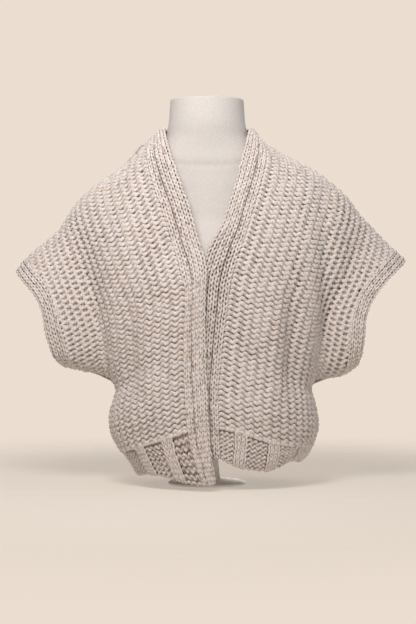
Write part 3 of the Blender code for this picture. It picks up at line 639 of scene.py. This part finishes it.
class Half:
    """One half of the front or back, sampled finely: the cloth's points and normals by a and b."""

    def __init__(self, side, sheet):
        self.side = side
        self.a = np.linspace(0, 2, CLOTH_STEPS + 1)
        rib = np.linspace(0, RIB_SHARE, RIB_STEPS + 1)
        body = np.linspace(RIB_SHARE, 1, BODY_STEPS + 1)
        self.b = np.concatenate([rib, body[1:], upper_rows(CLOTH_STEPS + 1)[1:]])
        self.points, self.normals = cloth(side, sheet, *np.meshgrid(self.a, self.b))

    def at(self, a, b):
        """Points and unit normals at arrays of a and b."""
        row = np.interp(b, self.b, np.arange(len(self.b)))
        column = np.interp(a, self.a, np.arange(len(self.a)))
        return between((self.points, self.normals), row, column)

    def rows(self, inset):
        """The panel's rows from the rib's top line up, half a row apart, each to inset from the sleeve's end.

        A row is its number, points, normals, and the first and last column that lie on the cloth. Past those
        its points carry on in the air, for the rows beside it that end elsewhere.
        """
        # The places of a = 1, b = RIB_SHARE and b = 1 in the tables.
        seam, rib, armpit = CLOTH_STEPS // 2, RIB_STEPS, RIB_STEPS + BODY_STEPS
        # Just above the armpit the rows fan out: the way in from the side seam counts on the sleeve only.
        steps = np.diff(self.points, axis=0)
        low_b = self.b[:-1, None]
        fanned = np.maximum(ease(low_b, 1, FAN[1]), ease(self.a[None], 1, FAN[0]))
        counts = np.where(low_b < 1, 1, fanned)
        steps = np.sqrt(steps[..., 0] ** 2 + steps[..., 2] ** 2 + counts * steps[..., 1] ** 2)
        up = np.concatenate([np.zeros((1, len(self.a))), np.cumsum(steps, axis=0)])
        up = up - up[rib]
        up[:, seam + 1 :] += (up[armpit, seam] - up[armpit, seam + 1 :])[None]
        above = up[armpit:, seam:] - up[armpit, seam:]
        longest = np.minimum.accumulate(above[-1] - OUTWARD_TAPER * np.arange(above.shape[1]))
        up[armpit:, seam:] = up[armpit, seam:] + above * longest / above[-1]
        limit_b = np.linspace(1, 2, 60)
        limit = np.interp(self.b, limit_b, cuff_start(self.side, limit_b, inset))
        ahead = unit(self.points[-1] - self.points[-3])
        for number in np.arange(-1, up[-1].max() / ROW + 1, 0.5):
            height = number * ROW
            first = np.where(np.arange(len(self.a)) <= seam, rib, armpit)
            b = [np.interp(height, up[k:, column], self.b[k:]) for column, k in enumerate(first)]
            slack = 0.01 * first  # millimetres that a row may start below the rib's or armpit's line
            inside = (height <= up[-1]) & (height >= up[first, np.arange(len(self.a))] - slack)
            inside[: seam + 1] = height <= up[-1, : seam + 1]
            inside &= self.a <= np.interp(b, self.b, limit)
            if inside.sum() < FEWEST_POINTS:
                continue
            start = int(np.argmax(inside))
            end = start + int(np.argmin(np.append(inside[start:], False)))
            last = min(end + CARRY, len(self.a)) if height > up[armpit, seam] else end
            point, normal = self.at(self.a[:last], np.array(b[:last]))
            point += np.maximum(height - up[-1, :last], 0)[:, None] * ahead[:last]
            yield number, point, normal, start, end


class Fabric:
    """A stretch of cloth that yarn is laid on, by the way along a row and the row's number.

    Each row keeps its own length, or all of them are laid out evenly on one nominal width.
    """

    SPARE = 8  # steps past the longest row
    OVERRUN = 4  # millimetres that a row runs straight on past its end

    def __init__(self, numbers, lines, normals, width=None, step=2.5, spans=None):
        self.first, self.pitch, self.step = numbers[0], numbers[1] - numbers[0], step
        steps = [np.linalg.norm(np.diff(line, axis=0), axis=1) for line in lines]
        ways = [np.concatenate([[0], np.cumsum(row_steps)]) for row_steps in steps]
        own = np.array([way[-1] for way in ways])
        self.ends = own if width is None else np.full(len(lines), float(width))
        spans = [(0, len(way)) for way in ways] if spans is None else spans
        self.spans = np.array([(way[start], way[end - 1]) for way, (start, end) in zip(ways, spans)])
        at = np.arange(int(self.ends.max() / step) + self.SPARE) * step
        self.points, self.normals = [], []
        for line, normal, way, end in zip(lines, normals, ways, self.ends):
            way = way * end / way[-1]
            over = np.clip(at - end, 0, self.OVERRUN)[:, None]
            ahead = (line[-1] - line[-3]) / max(way[-1] - way[-3], 1e-6)
            row = np.stack([np.interp(at, way, line[:, k]) for k in range(3)], -1)
            self.points.append(row + over * ahead)
            self.normals.append(np.stack([np.interp(at, way, normal[:, k]) for k in range(3)], -1))
        self.points, self.normals = np.array(self.points), np.array(self.normals)

    def span(self, number):
        """Where a row starts and ends on the cloth, by its way."""
        numbers = self.first + self.pitch * np.arange(len(self.ends))
        return [float(np.interp(number, numbers, self.spans[:, k])) for k in (0, 1)]

    def at(self, along, number):
        """Points and unit normals at ways along the rows and row numbers, a little before the start too."""
        row = np.clip((number - self.first) / self.pitch, 0, len(self.ends) - 1.001)
        column = np.clip(along / self.step, 0, self.points.shape[1] - 1.001)
        points, normals = between((self.points, self.normals), row, column)
        i = row.astype(int)
        back = np.minimum(along, 0)[:, None] * (self.points[i, 1] - self.points[i, 0]) / self.step
        return points + back, normals


def lay(fabric, courses, seed, inset, deep=LOOP_DEPTH, lean=0.0, radii=(YARN_RADIUS,) * 2, profile=None):
    """Loops of yarn on a fabric. A course is its row's number, its start, and its stitches' widths and faces.

    A face of 1 is purl, whose heads and feet stand out, and -1 is plain, whose legs do. radii has the yarn's
    radius in purl and in plain stitches. Found are the yarn's lines, normals, depths and radii.
    """
    random = np.random.default_rng(seed)
    turn = np.linspace(-np.pi, np.pi, LOOP_STEPS + 1)[:-1]
    found = []
    for number, begin, widths, faces in courses:
        widths, faces = np.array(widths)[:, None], np.array(faces)[:, None]
        start = begin + np.cumsum(widths, axis=0) - widths
        bulge = np.where(faces > 0, PURL_BULGE, PLAIN_BULGE)
        share = (turn + np.pi) / (2 * np.pi) + bulge * np.sin(2 * turn) + lean * (1 + np.cos(turn))
        along = (start + widths * share).ravel()
        up = np.tile(LOOP_HEIGHT * np.cos(turn), len(widths))
        depth = (faces * deep * np.cos(2 * turn)).ravel()
        wobble = random.normal(0, 1, (len(widths) + 1, 3))
        place = np.arange(len(along)) / LOOP_STEPS
        shifts = [np.interp(place, np.arange(len(widths) + 1), wobble[:, k]) for k in range(3)]
        along = along + WOBBLE[0] * shifts[0]
        point, normal = fabric.at(along, number + up + WOBBLE[1] * shifts[1])
        depth = depth + WOBBLE[2] * shifts[2]
        sizes = np.where(faces[:, 0] > 0, radii[0], radii[1])
        size = np.interp(place, np.arange(len(widths)) + 0.5, sizes)
        if profile is not None:
            depth = depth + profile(along, place, faces[:, 0])
        found.append((point + normal * (depth - inset)[:, None], normal, depth, size))
    return found


def shell(outer, normal):
    """The cloth behind the loops: a thin closed wall from a grid of points, its front marked 0."""
    top, bottom = outer - SHELL_INSET * normal, outer - (SHELL_INSET + SHELL_WALL) * normal
    rows, columns = outer.shape[:2]
    count = rows * columns
    grid = np.arange(count).reshape(rows, columns)
    front = np.stack([grid[:-1, :-1], grid[:-1, 1:], grid[1:, 1:], grid[1:, :-1]], -1).reshape(-1, 4)
    edge = outer[1, 0] - outer[0, 0], outer[0, 1] - outer[0, 0]
    if np.cross(edge[1], edge[0]) @ normal[0, 0] < 0:
        front = front[:, ::-1]
    rim = np.concatenate([grid[0, :-1], grid[:-1, -1], grid[-1, :0:-1], grid[:0:-1, 0]])
    after = np.roll(rim, -1)
    walls = np.stack([after, rim, rim + count, after + count], -1)
    faces = np.concatenate([front, front[:, ::-1] + count, walls])
    marks = np.concatenate([np.zeros(len(front)), np.ones(len(faces) - len(front))])
    return np.concatenate([top.reshape(-1, 3), bottom.reshape(-1, 3)]), faces, marks


def area_of(outer):
    """The area of a grid of points, in square metres."""
    across, up = outer[1:, 1:] - outer[:-1, :-1], outer[1:, :-1] - outer[:-1, 1:]
    return 0.5 * np.linalg.norm(np.cross(across, up), axis=-1).sum() / 1e6


def panel_grids(half):
    """The two blocks of a panel's surface, below and above the armpit's row, with their normals."""
    upper_b = upper_rows(61)
    end = cuff_start(half.side, upper_b, CUFF_WIDTH - PANEL_UNDER_CUFF)
    body_a = np.sin(np.linspace(0, np.pi / 2, 31))
    sleeve_a = 1 + (end[:, None] - 1) * np.linspace(0, 1, 31)[None, 1:]
    upper_a = np.concatenate([np.tile(body_a, (len(end), 1)), sleeve_a], axis=1)
    lower = half.at(*np.meshgrid(body_a, np.linspace(RIB_SHARE, 1, 28)))
    return [lower, half.at(upper_a, np.tile(upper_b[:, None], (1, upper_a.shape[1])))]


def panel_yarn(half, seed):
    """The loops of a panel's half, rows from the rib's top and stitches from the front or back edge out."""
    numbers, lines, normals, starts, ends = zip(*half.rows(CUFF_WIDTH - YARN_UNDER_CUFF))
    fabric = Fabric(numbers, lines, normals, spans=list(zip(starts, ends)))
    edges, courses = [0.0], []
    while edges[-1] < LONGEST_ROW:
        edges.append(edges[-1] + float(np.interp(edges[-1], STITCH_WAY, (STITCH, SLEEVE_STITCH))))
    edges = np.array(edges)
    for number in np.arange(math.ceil(numbers[0]), numbers[-1]):
        start, end = fabric.span(number)
        end += SEAM_REACH
        own = edges[(edges > start + NARROWEST * STITCH) & (edges < end - NARROWEST * STITCH)]
        widths = np.diff(np.concatenate([[start], own, [end]]))
        courses.append((number, start, widths, [1] * len(widths)))
    return lay(fabric, courses, seed, YARN_INSET, lean=-LEAN)


def backing_of(name, shells):
    """The thin fabric behind a piece's loops, from its shells: its front dark with painted shade, its back
    and rim the garment's inside.
    """
    points, faces, marks = joined(shells)
    return piece(name + "_backing", points, faces, [wool_in_shade, wool_inside], marks)


def stitches_of(name, yarn, seed):
    """A piece's loops of yarn as one mesh."""
    points, faces, uv, lift = tubes(yarn, seed)
    return piece(name, points, faces, [marled_wool], uv=uv, lift=lift)


def wear(node, area):
    """Hide the solid that a knitted piece stands in for. flat is not used."""
    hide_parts(node)


halves = {(side, sheet): Half(side, sheet) for side in OUTLINES for sheet in ("front", "back")}
for side, seed in (("right", 11), ("left", 12)):
    name = side + "_front"
    grids = panel_grids(halves[side, "front"])
    backing = backing_of(name, [shell(*grid) for grid in grids])
    yarn = panel_yarn(halves[side, "front"], seed)
    stitches = stitches_of(name + "_stitches", yarn, seed)
    wear(name, sum(area_of(grid[0]) for grid in grids))

# The back: one wide panel in the same yarn and stitch as the fronts. It is knitted from the rib to the neck
# with the back halves of both sleeves grown on, and sewn to the fronts at the sides, shoulders and sleeves.
grids = panel_grids(halves["right", "back"]) + panel_grids(halves["left", "back"])
backing = backing_of("back", [shell(*grid) for grid in grids])
for side, seed in (("right", 21), ("left", 22)):
    yarn = panel_yarn(halves[side, "back"], seed)
    stitches_of("back_stitches_" + side, yarn, seed)
wear("back", sum(area_of(grid[0]) for grid in grids))

# The hems: wide rib, with groups of two or three plain columns between broad purl ones. They are knitted in
# one with the panels, in the same yarn on finer needles, from a cast-on edge that rolls under.
# Knit columns of the hem ribs: where each group is centred, as a share of the way out, and its columns.
RIB_GROUPS = {
    "right": [(0.2, 3), (0.5, 3), (0.8, 2)],
    "left": [(0.16, 3), (0.42, 3), (0.68, 2), (0.90, 2)],
    "back": [(0.10, 3), (0.36, 3), (0.62, 3), (0.88, 2)],
}
RIB_COLUMN = 6.5  # width of one knit column in a rib
RIB_RADII = (2.4, 1.6)  # the yarn's radius in the rib's purl and plain stitches
RIB_DEEP = 1.5  # half the way a loop runs through the rib
TIGHTEST = 2  # millimetres between two groups that still take a purl stitch
HEM_WIDTH = 170.0  # the width that all of a half's rows are laid out on
HEM_SHELL_START = 0.01  # b value of the backing's lower edge
STATION = 0.25  # rows between the lines that a narrow fabric is made from
RIB_ROWS = 7  # rows of the rib at the front edge
RIB_LIFT = 0.3  # shift of the rib's rows, so that its last one meets the panel's first
RIB_PURL = 9.0  # width of one purl column
RIB_PROUD = 1.0  # how far the plain columns stand out over the purl ones
RIDGE = 1.4  # height of a plain column's ridge over the grooves beside it
EDGE_ROUND = 2.6  # radius of an edge that turns under
TURN_STEPS = np.linspace(0, 2.7, 7)[1:]  # angles round such an edge


def turned(points, normals, away, radius=EDGE_ROUND):
    """Points and normals carried on round an edge to the inside, one step for each angle."""
    found = []
    for angle in TURN_STEPS:
        sunk = points - radius * (1 - math.cos(angle)) * normals + radius * math.sin(angle) * away
        found.append((sunk, math.cos(angle) * normals + math.sin(angle) * away))
    return found


def rib_stitches(groups, length):
    """The widths and faces of a rib row's stitches."""
    at, widths, faces = 0.0, [], []
    for centre, columns in groups + [(1.0, 0)]:
        start = centre * length - columns * RIB_COLUMN / 2
        count = max(round((start - at) / RIB_PURL), 1) if start - at > TIGHTEST else 0
        widths += [(start - at) / max(count, 1)] * count + [RIB_COLUMN] * columns
        faces += [1] * count + [-1] * columns
        at = start + columns * RIB_COLUMN
    return widths, faces


def hem_half(half, groups, seed):
    """A half's hem: its grid, and its loops from the rolled edge up to the panel's first row."""
    a = np.linspace(0, 1, 60)
    numbers = np.arange(0, RIB_ROWS + STATION / 2, STATION)
    rows = [half.at(a, np.full_like(a, RIB_SHARE * number / RIB_ROWS)) for number in numbers]
    away = unit(rows[0][0] - rows[2][0])
    under = turned(*rows[0], away)
    rows = under[::-1] + rows
    fabric = Fabric(STATION * np.arange(-len(under), len(numbers)), *zip(*rows), width=HEM_WIDTH)
    length = np.linalg.norm(np.diff(rows[-1][0], axis=0), axis=-1).sum()
    widths, faces = rib_stitches(groups, length)
    widths = [width * HEM_WIDTH / length for width in widths]
    courses = [(number, 0.0, widths, faces) for number in np.arange(-1.0, RIB_ROWS) + RIB_LIFT]

    def profile(along, place, faces):
        """The ridge of each plain column over the purl ones."""
        own = faces[np.minimum(place.astype(int), len(faces) - 1)]
        ridge = RIB_PROUD - RIDGE * np.cos(2 * np.pi * place)
        return np.where(own > 0, 0, ridge)

    yarn = lay(fabric, courses, seed, YARN_INSET, deep=RIB_DEEP, radii=RIB_RADII, profile=profile)
    grid_a, grid_b = np.meshgrid(np.linspace(0, 1, 40), np.linspace(HEM_SHELL_START, RIB_SHARE, 10))
    return half.at(grid_a, grid_b), yarn


def hem(name, parts):
    """A whole hem from its halves: the backing, the loops, and its place on the form."""
    backing = backing_of(name, [shell(*grid) for grid, _ in parts])
    yarn = sum((yarn for _, yarn in parts), [])
    stitches = stitches_of(name + "_stitches", yarn, len(name))
    wear(name, sum(area_of(grid[0]) for grid, _ in parts))


for side, seed in (("right", 31), ("left", 32)):
    hem(side + "_hem", [hem_half(halves[side, "front"], RIB_GROUPS[side], seed)])
parts = [hem_half(halves[side, "back"], RIB_GROUPS["back"], 33 + k) for k, side in enumerate(OUTLINES)]
hem("back_hem", parts)

# The cuffs: a band of three plain columns round each sleeve's opening, in the same yarn on finer needles. It
# is picked up from the sleeve's edge, knitted tighter than the body so that it stands proud, and turned in.
FINE_RADIUS = 1.75  # of the yarn where it is knitted tighter
FINE_INSET = 1.3  # how far its middle lies under the outer face there
COLUMN_ROW = 7.4  # height of a row in the bands and cuffs
COLUMN_DEEP = 1.3  # half the way a loop runs through the bands and cuffs
GROOVE_DEEP = 1.8
GROOVE_WIDTH = 0.3  # in columns
CUFF_COLUMNS = 3
CUFF_PROUD = 1.4  # how far the cuff stands out over the sleeve
CUFF_SMOOTHINGS = 6  # rounds of evening out the cuff's normals over the sleeve's two creases
RING_LAP = 6  # stations that a ring's fabric runs on for past its start and end


def strip(name, flat, outer, normal, columns, seed, ring=False, groove=None, capped=False):
    """A strip of plain columns along a grid of its outer points (stations, across), its free edge turned in.

    A ring closes on itself, a groove runs that many columns from the seam, and a capped start turns in too.
    """
    middle = outer[:, outer.shape[1] // 2]
    steps = np.linalg.norm(np.diff(middle, axis=0), axis=1)
    if ring:
        steps = np.append(steps, np.linalg.norm(middle[0] - middle[-1]))
        outer, normal = (np.concatenate([part, part[:1]]) for part in (outer, normal))
    way = np.concatenate([[0], np.cumsum(steps)])
    count = round(way[-1] / COLUMN_ROW)
    numbers = np.arange(0, count + STATION / 2, STATION)
    at = numbers / count * way[-1]
    tables = [part.reshape(len(part), -1) for part in (outer, normal)]
    even = [np.stack([np.interp(at, way, column) for column in table.T], -1) for table in tables]
    outer, normal = (part.reshape(len(at), -1, 3) for part in even)
    normal = unit(normal)
    around = turned(outer[:, -1], normal[:, -1], unit(outer[:, -1] - outer[:, -2]))
    points = np.concatenate([outer] + [part[0][:, None] for part in around], axis=1)
    normals = np.concatenate([normal] + [part[1][:, None] for part in around], axis=1)
    if ring:
        lap = RING_LAP
        points = np.concatenate([points[-1 - lap : -1], points, points[1 : 1 + lap]])
        normals = np.concatenate([normals[-1 - lap : -1], normals, normals[1 : 1 + lap]])
        numbers = STATION * np.arange(-lap, len(numbers) + lap)
    elif capped:
        under = turned(points[0], normals[0], unit(points[0] - points[3]))
        points = np.concatenate([[part[0] for part in under[::-1]], points])
        normals = np.concatenate([[part[1] for part in under[::-1]], normals])
        numbers = STATION * np.arange(-len(under), len(numbers))
    flat_width = np.linalg.norm(np.diff(outer, axis=1), axis=-1).sum(axis=1).mean()
    width = flat_width + EDGE_ROUND * TURN_STEPS[-1]
    fabric = Fabric(numbers, points, normals, width=width, step=1.0)
    column = flat_width / columns
    edge_columns = max(round((width - flat_width) / column), 1)
    widths = [column] * columns + [(width - flat_width) / edge_columns] * edge_columns
    first = -1 if capped else 0
    courses = [(number, 0.0, widths, [-1] * len(widths)) for number in np.arange(first, count)]

    def profile(along, place, faces):
        """The columns' ridges, and the groove."""
        across = along / column
        ridge = -RIDGE * np.cos(2 * np.pi * across)
        if groove is None:
            return ridge
        return ridge - GROOVE_DEEP * np.exp(-(((across - groove) / GROOVE_WIDTH) ** 2))

    radii = (FINE_RADIUS, FINE_RADIUS)
    yarn = lay(fabric, courses, seed, FINE_INSET, deep=COLUMN_DEEP, radii=radii, profile=profile)
    backing = backing_of(name, [shell(outer, normal)])
    stitches = stitches_of(name + "_stitches", yarn, seed)
    wear(name, area_of(outer))


for side, seed in (("right", 41), ("left", 42)):
    b = upper_rows(61)
    start = cuff_start(side, b, CUFF_WIDTH)
    a = start[:, None] + (2 - start[:, None]) * np.linspace(0, 1, 9)
    grid_b = np.tile(b[:, None], (1, a.shape[1]))
    front, back = (halves[side, sheet].at(a, grid_b) for sheet in ("front", "back"))
    outer, normal = (np.concatenate([front[k], back[k][-2:0:-1]]) for k in (0, 1))
    for _ in range(CUFF_SMOOTHINGS):
        normal = unit(normal + np.roll(normal, 1, axis=0) + np.roll(normal, -1, axis=0))
    outer = outer + CUFF_PROUD * normal
    strip(side + "_cuff", (0.42, 0.025), outer, normal, CUFF_COLUMNS, seed, ring=True)

# The front bands: five plain columns from the hem to the shoulder, a groove two columns in from the seam.
# They are picked up along the front edge and knitted tighter than the body, so that they stand straight.
BAND_COLUMNS = 5
BAND_PROUD = 1.6  # how far the band stands out over the front
GROOVE_AT = 2.0  # columns from the seam
BAND_CROWD = 1.3  # power that draws the stations together near the shoulder


def band_grid(seam, edge_normal, inner, sign):
    """A band's outer points and normals, from the line it is knitted on to its inner edge."""
    along = np.gradient(0.5 * (seam + inner), axis=0)
    normal = unit(np.cross(along, inner - seam) * sign)
    part = np.linspace(0, 1, 13)[None, :, None]
    normals = unit((1 - part) * edge_normal[:, None] + part * normal[:, None])
    return seam[:, None] + part * (inner - seam)[:, None] + BAND_PROUD * normals, normals


for side, seed in (("right", 51), ("left", 52)):
    outline = OUTLINES[side]
    share = 1 - (1 - np.linspace(0, 1, 121)) ** BAND_CROWD
    edges = outline["front_edge"], outline["inner_edge"]
    heights = [edge[0][1] + (edge[-1][1] - edge[0][1]) * share for edge in edges]
    marks = [outline[row][0][1] for row in ("front_hem", "front_rib", "front_row")] + [edges[0][-1][1]]
    b = np.interp(heights[0], marks, [0, RIB_SHARE, 1, 2])
    seam, edge_normal = halves[side, "front"].at(np.zeros_like(b), b)
    flat = at_height(edges[1], heights[1])
    inner = np.stack([outline["sign"] * flat[:, 0], seam[:, 1], flat[:, 1]], axis=-1)
    grid = band_grid(seam, edge_normal, inner, outline["sign"])
    strip(side + "_band", (0.60, 0.04), *grid, BAND_COLUMNS, seed, groove=GROOVE_AT, capped=True)

# The neck band: the same five columns carried round the back neck, picked up along the back's top edge. They
# stand up against the form's neck.
NECK_TOP = (67, 61.5, 530, 4)  # half width, depth, height at the sides and its rise at the back
halves_of_neck = []
for side in ("right", "left"):
    shoulder, end = OUTLINES[side]["back_shoulder"], OUTLINES[side]["shoulder"][0][0]
    fine = np.linspace(0, 1, 200)
    a = np.interp(end * np.sin(np.linspace(0, np.pi / 2, 31)), curve(shoulder, fine)[:, 0], fine)
    halves_of_neck.append(halves[side, "back"].at(a, np.full_like(a, 2.0)))
seam, edge_normal = (np.concatenate([halves_of_neck[0][k][::-1], halves_of_neck[1][k][1:]]) for k in (0, 1))
x = np.clip(seam[:, 0] / np.where(seam[:, 0] < 0, -seam[0, 0], seam[-1, 0]), -1, 1)
bow = np.sqrt(1 - x**2)
top = np.stack([x * NECK_TOP[0], NECK_TOP[1] * bow, NECK_TOP[2] + NECK_TOP[3] * bow], axis=-1)
grid = band_grid(seam, edge_normal, top, -1)
strip("neck_band", (0.24, 0.04), *grid, BAND_COLUMNS, 61, groove=GROOVE_AT)

# The dress form: a limbless torso of moulded foam under a close cover of off-white woven cotton, sewn with a
# curved seam round the neck's foot and a seam down the front and back. It stands on a metal stem and base.
# Columns: height, half width, depth ahead of the mid-plane, depth behind it.
FORM_SECTIONS = [
    (62, 78, 64, 62),
    (82, 92, 76, 72),
    (110, 99, 82, 76),
    (160, 110, 88, 80),
    (230, 122, 96, 86),
    (300, 140, 101, 90),
    (345, 166, 94, 86),
    (375, 190, 76, 72),
    (394, 200, 60, 60),
    (414, 187, 54, 55),
    (433, 169, 50, 52),
    (448, 149.8, 48, 51),
    (463, 128.9, 46, 50),
    (484, 104.3, 46, 49),
    (505, 74, 46, 46),
    (520, 62, 48, 48),
    (535, 58.5, 51, 51),
    (576, 55, 52, 52),
]
TURNS, LEVELS = 144, 150  # points round the torso, and rings up it
NECK_SEAM = (474, 22)  # the neck seam's height at the centre front, and its rise towards the sides
SEAM_WIDTH, SEAM_DEPTH = 1.8, 1.1
SEAM_ASIDE = 2  # how far the front and back seam stands off the centre line
SEAM_RIDGE = 0.5  # its height, as a share of the neck seam's depth
SEAM_FADES = (6, 3)  # the seams fade in and out over these heights at the form's foot and top
EDGE = 1.5  # how far the cover is drawn round the form's top and bottom edges
EDGE_ANGLES = (0.5, 1.0, 1.5)  # radians round those edges
COVER_GRAIN_MM = 2.2  # the real weave is finer, and is drawn as coarse as the render can show


def lathe(name, rings, material):
    """A closed body from rings of points, each as long as the next, with flat ends."""
    rings = np.array(rings)
    count, around = rings.shape[:2]
    grid = np.arange(count * around).reshape(count, around)
    after = np.roll(grid, -1, axis=1)
    faces = np.stack([grid[:-1], after[:-1], after[1:], grid[1:]], -1).reshape(-1, 4)
    ends = np.array([rings[0].mean(0), rings[-1].mean(0)])
    beyond = np.roll(grid, -2, axis=1)
    first, last = (np.full(around // 2, count * around + k) for k in (0, 1))
    caps = [
        np.stack([after[0, ::2], grid[0, ::2], first, beyond[0, ::2]], -1),
        np.stack([grid[-1, ::2], after[-1, ::2], beyond[-1, ::2], last], -1),
    ]
    points = np.concatenate([rings.reshape(-1, 3), ends])
    return piece(name, points, np.concatenate([faces] + caps), [material])


# Woven cotton, unprinted and drawn tight: off-white and matt, with a faint sheen where it turns away.
cover, tree = new_material("woven_cotton_cover")
colour, height = grain(tree, "#CFC9C4", "#D8D3CF", COVER_GRAIN_MM, Detail=2.0, Roughness=0.6)
finish(tree, colour, height, 0.25, 0.0006, Roughness=0.85, Specular_IOR_Level=0.2, Sheen_Weight=0.15)

table = np.array(FORM_SECTIONS, float)
fine = curve(table, np.linspace(0, 1, 400))
foot, crown = table[0, 0], table[-1, 0]
turn = np.linspace(0, 2 * np.pi, TURNS, endpoint=False)
rings = []
for height in np.linspace(foot, crown, LEVELS):
    half, front, behind = (np.interp(height, fine[:, 0], fine[:, k]) for k in (1, 2, 3))
    depth = np.where(np.sin(turn) < 0, front, behind)
    rings.append(np.stack([half * np.cos(turn), depth * np.sin(turn), np.full_like(turn, height)], -1))
rings = np.array(rings)
out = rings[..., :2] / np.linalg.norm(rings[..., :2], axis=-1, keepdims=True)
neck_line = NECK_SEAM[0] + NECK_SEAM[1] * (1 - np.abs(np.sin(turn))) ** 0.8
neck_gap = (rings[..., 2] - neck_line) / (2 * SEAM_WIDTH)
centre_gap = (rings[..., 0] - SEAM_ASIDE) / SEAM_WIDTH
below = ease(neck_line - rings[..., 2], -2, 2)
press = SEAM_DEPTH * (np.exp(-(neck_gap**2)) - SEAM_RIDGE * np.exp(-(centre_gap**2)) * below)
fade_in, fade_out = SEAM_FADES
press = press * ease(crown - rings[..., 2], 0, fade_out) * ease(rings[..., 2], foot, foot + fade_in)
rings[..., :2] -= press[..., None] * out
for end, step in ((0, -1), (-1, 1)):
    edge = rings[end].copy()
    rims = []
    for angle in EDGE_ANGLES:
        rim = edge.copy()
        rim[:, :2] -= EDGE * (1 - math.cos(angle)) * out[end]
        rim[:, 2] += -step * EDGE + step * EDGE * math.sin(angle)
        rims.append(rim)
    rings[end, :, 2] -= step * EDGE
    rings = np.concatenate([rims[::-1], rings]) if end == 0 else np.concatenate([rings, rims])
torso = lathe("form_torso", rings, cover)
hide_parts("dress_form")

# The stem and base: a steel tube fixed into a cast iron disc below and a plate under the torso, all powder
# coated off-white. The coat's fine orange peel spreads the highlights and dulls them evenly.
PEEL_MM = 1.11  # a dimple of the orange peel
coat, tree = new_material("powder_coated_metal")
colour, height = grain(tree, "#F0ECE7", "#F7F4F0", PEEL_MM, ends=(0, 1), Detail=1.0)
finish(tree, colour, height, 0.15, 0.0003, Roughness=0.45, Specular_IOR_Level=0.5)
# Columns: height, radius.
STAND = {
    "form_base": [
        (0, 57.2), (0.4, 57.8), (1, 58), (3, 58), (3.6, 57.7),
        (4.2, 57), (5.6, 53), (9, 22), (9.4, 20.6), (9.6, 19),
    ],
    "form_stem": [(9.4, 18.6), (10, 19.6), (13, 19.7), (14, 19), (30, 17.4), (50, 16), (61, 16)],
    "form_plate": [(59.8, 44), (60.2, 46.2), (61, 47), (63, 47)],
}
for name, profile in STAND.items():
    rings = [
        np.stack([radius * np.cos(turn), radius * np.sin(turn), np.full_like(turn, height)], -1)
        for height, radius in profile
    ]
    lathe(name, rings, coat)
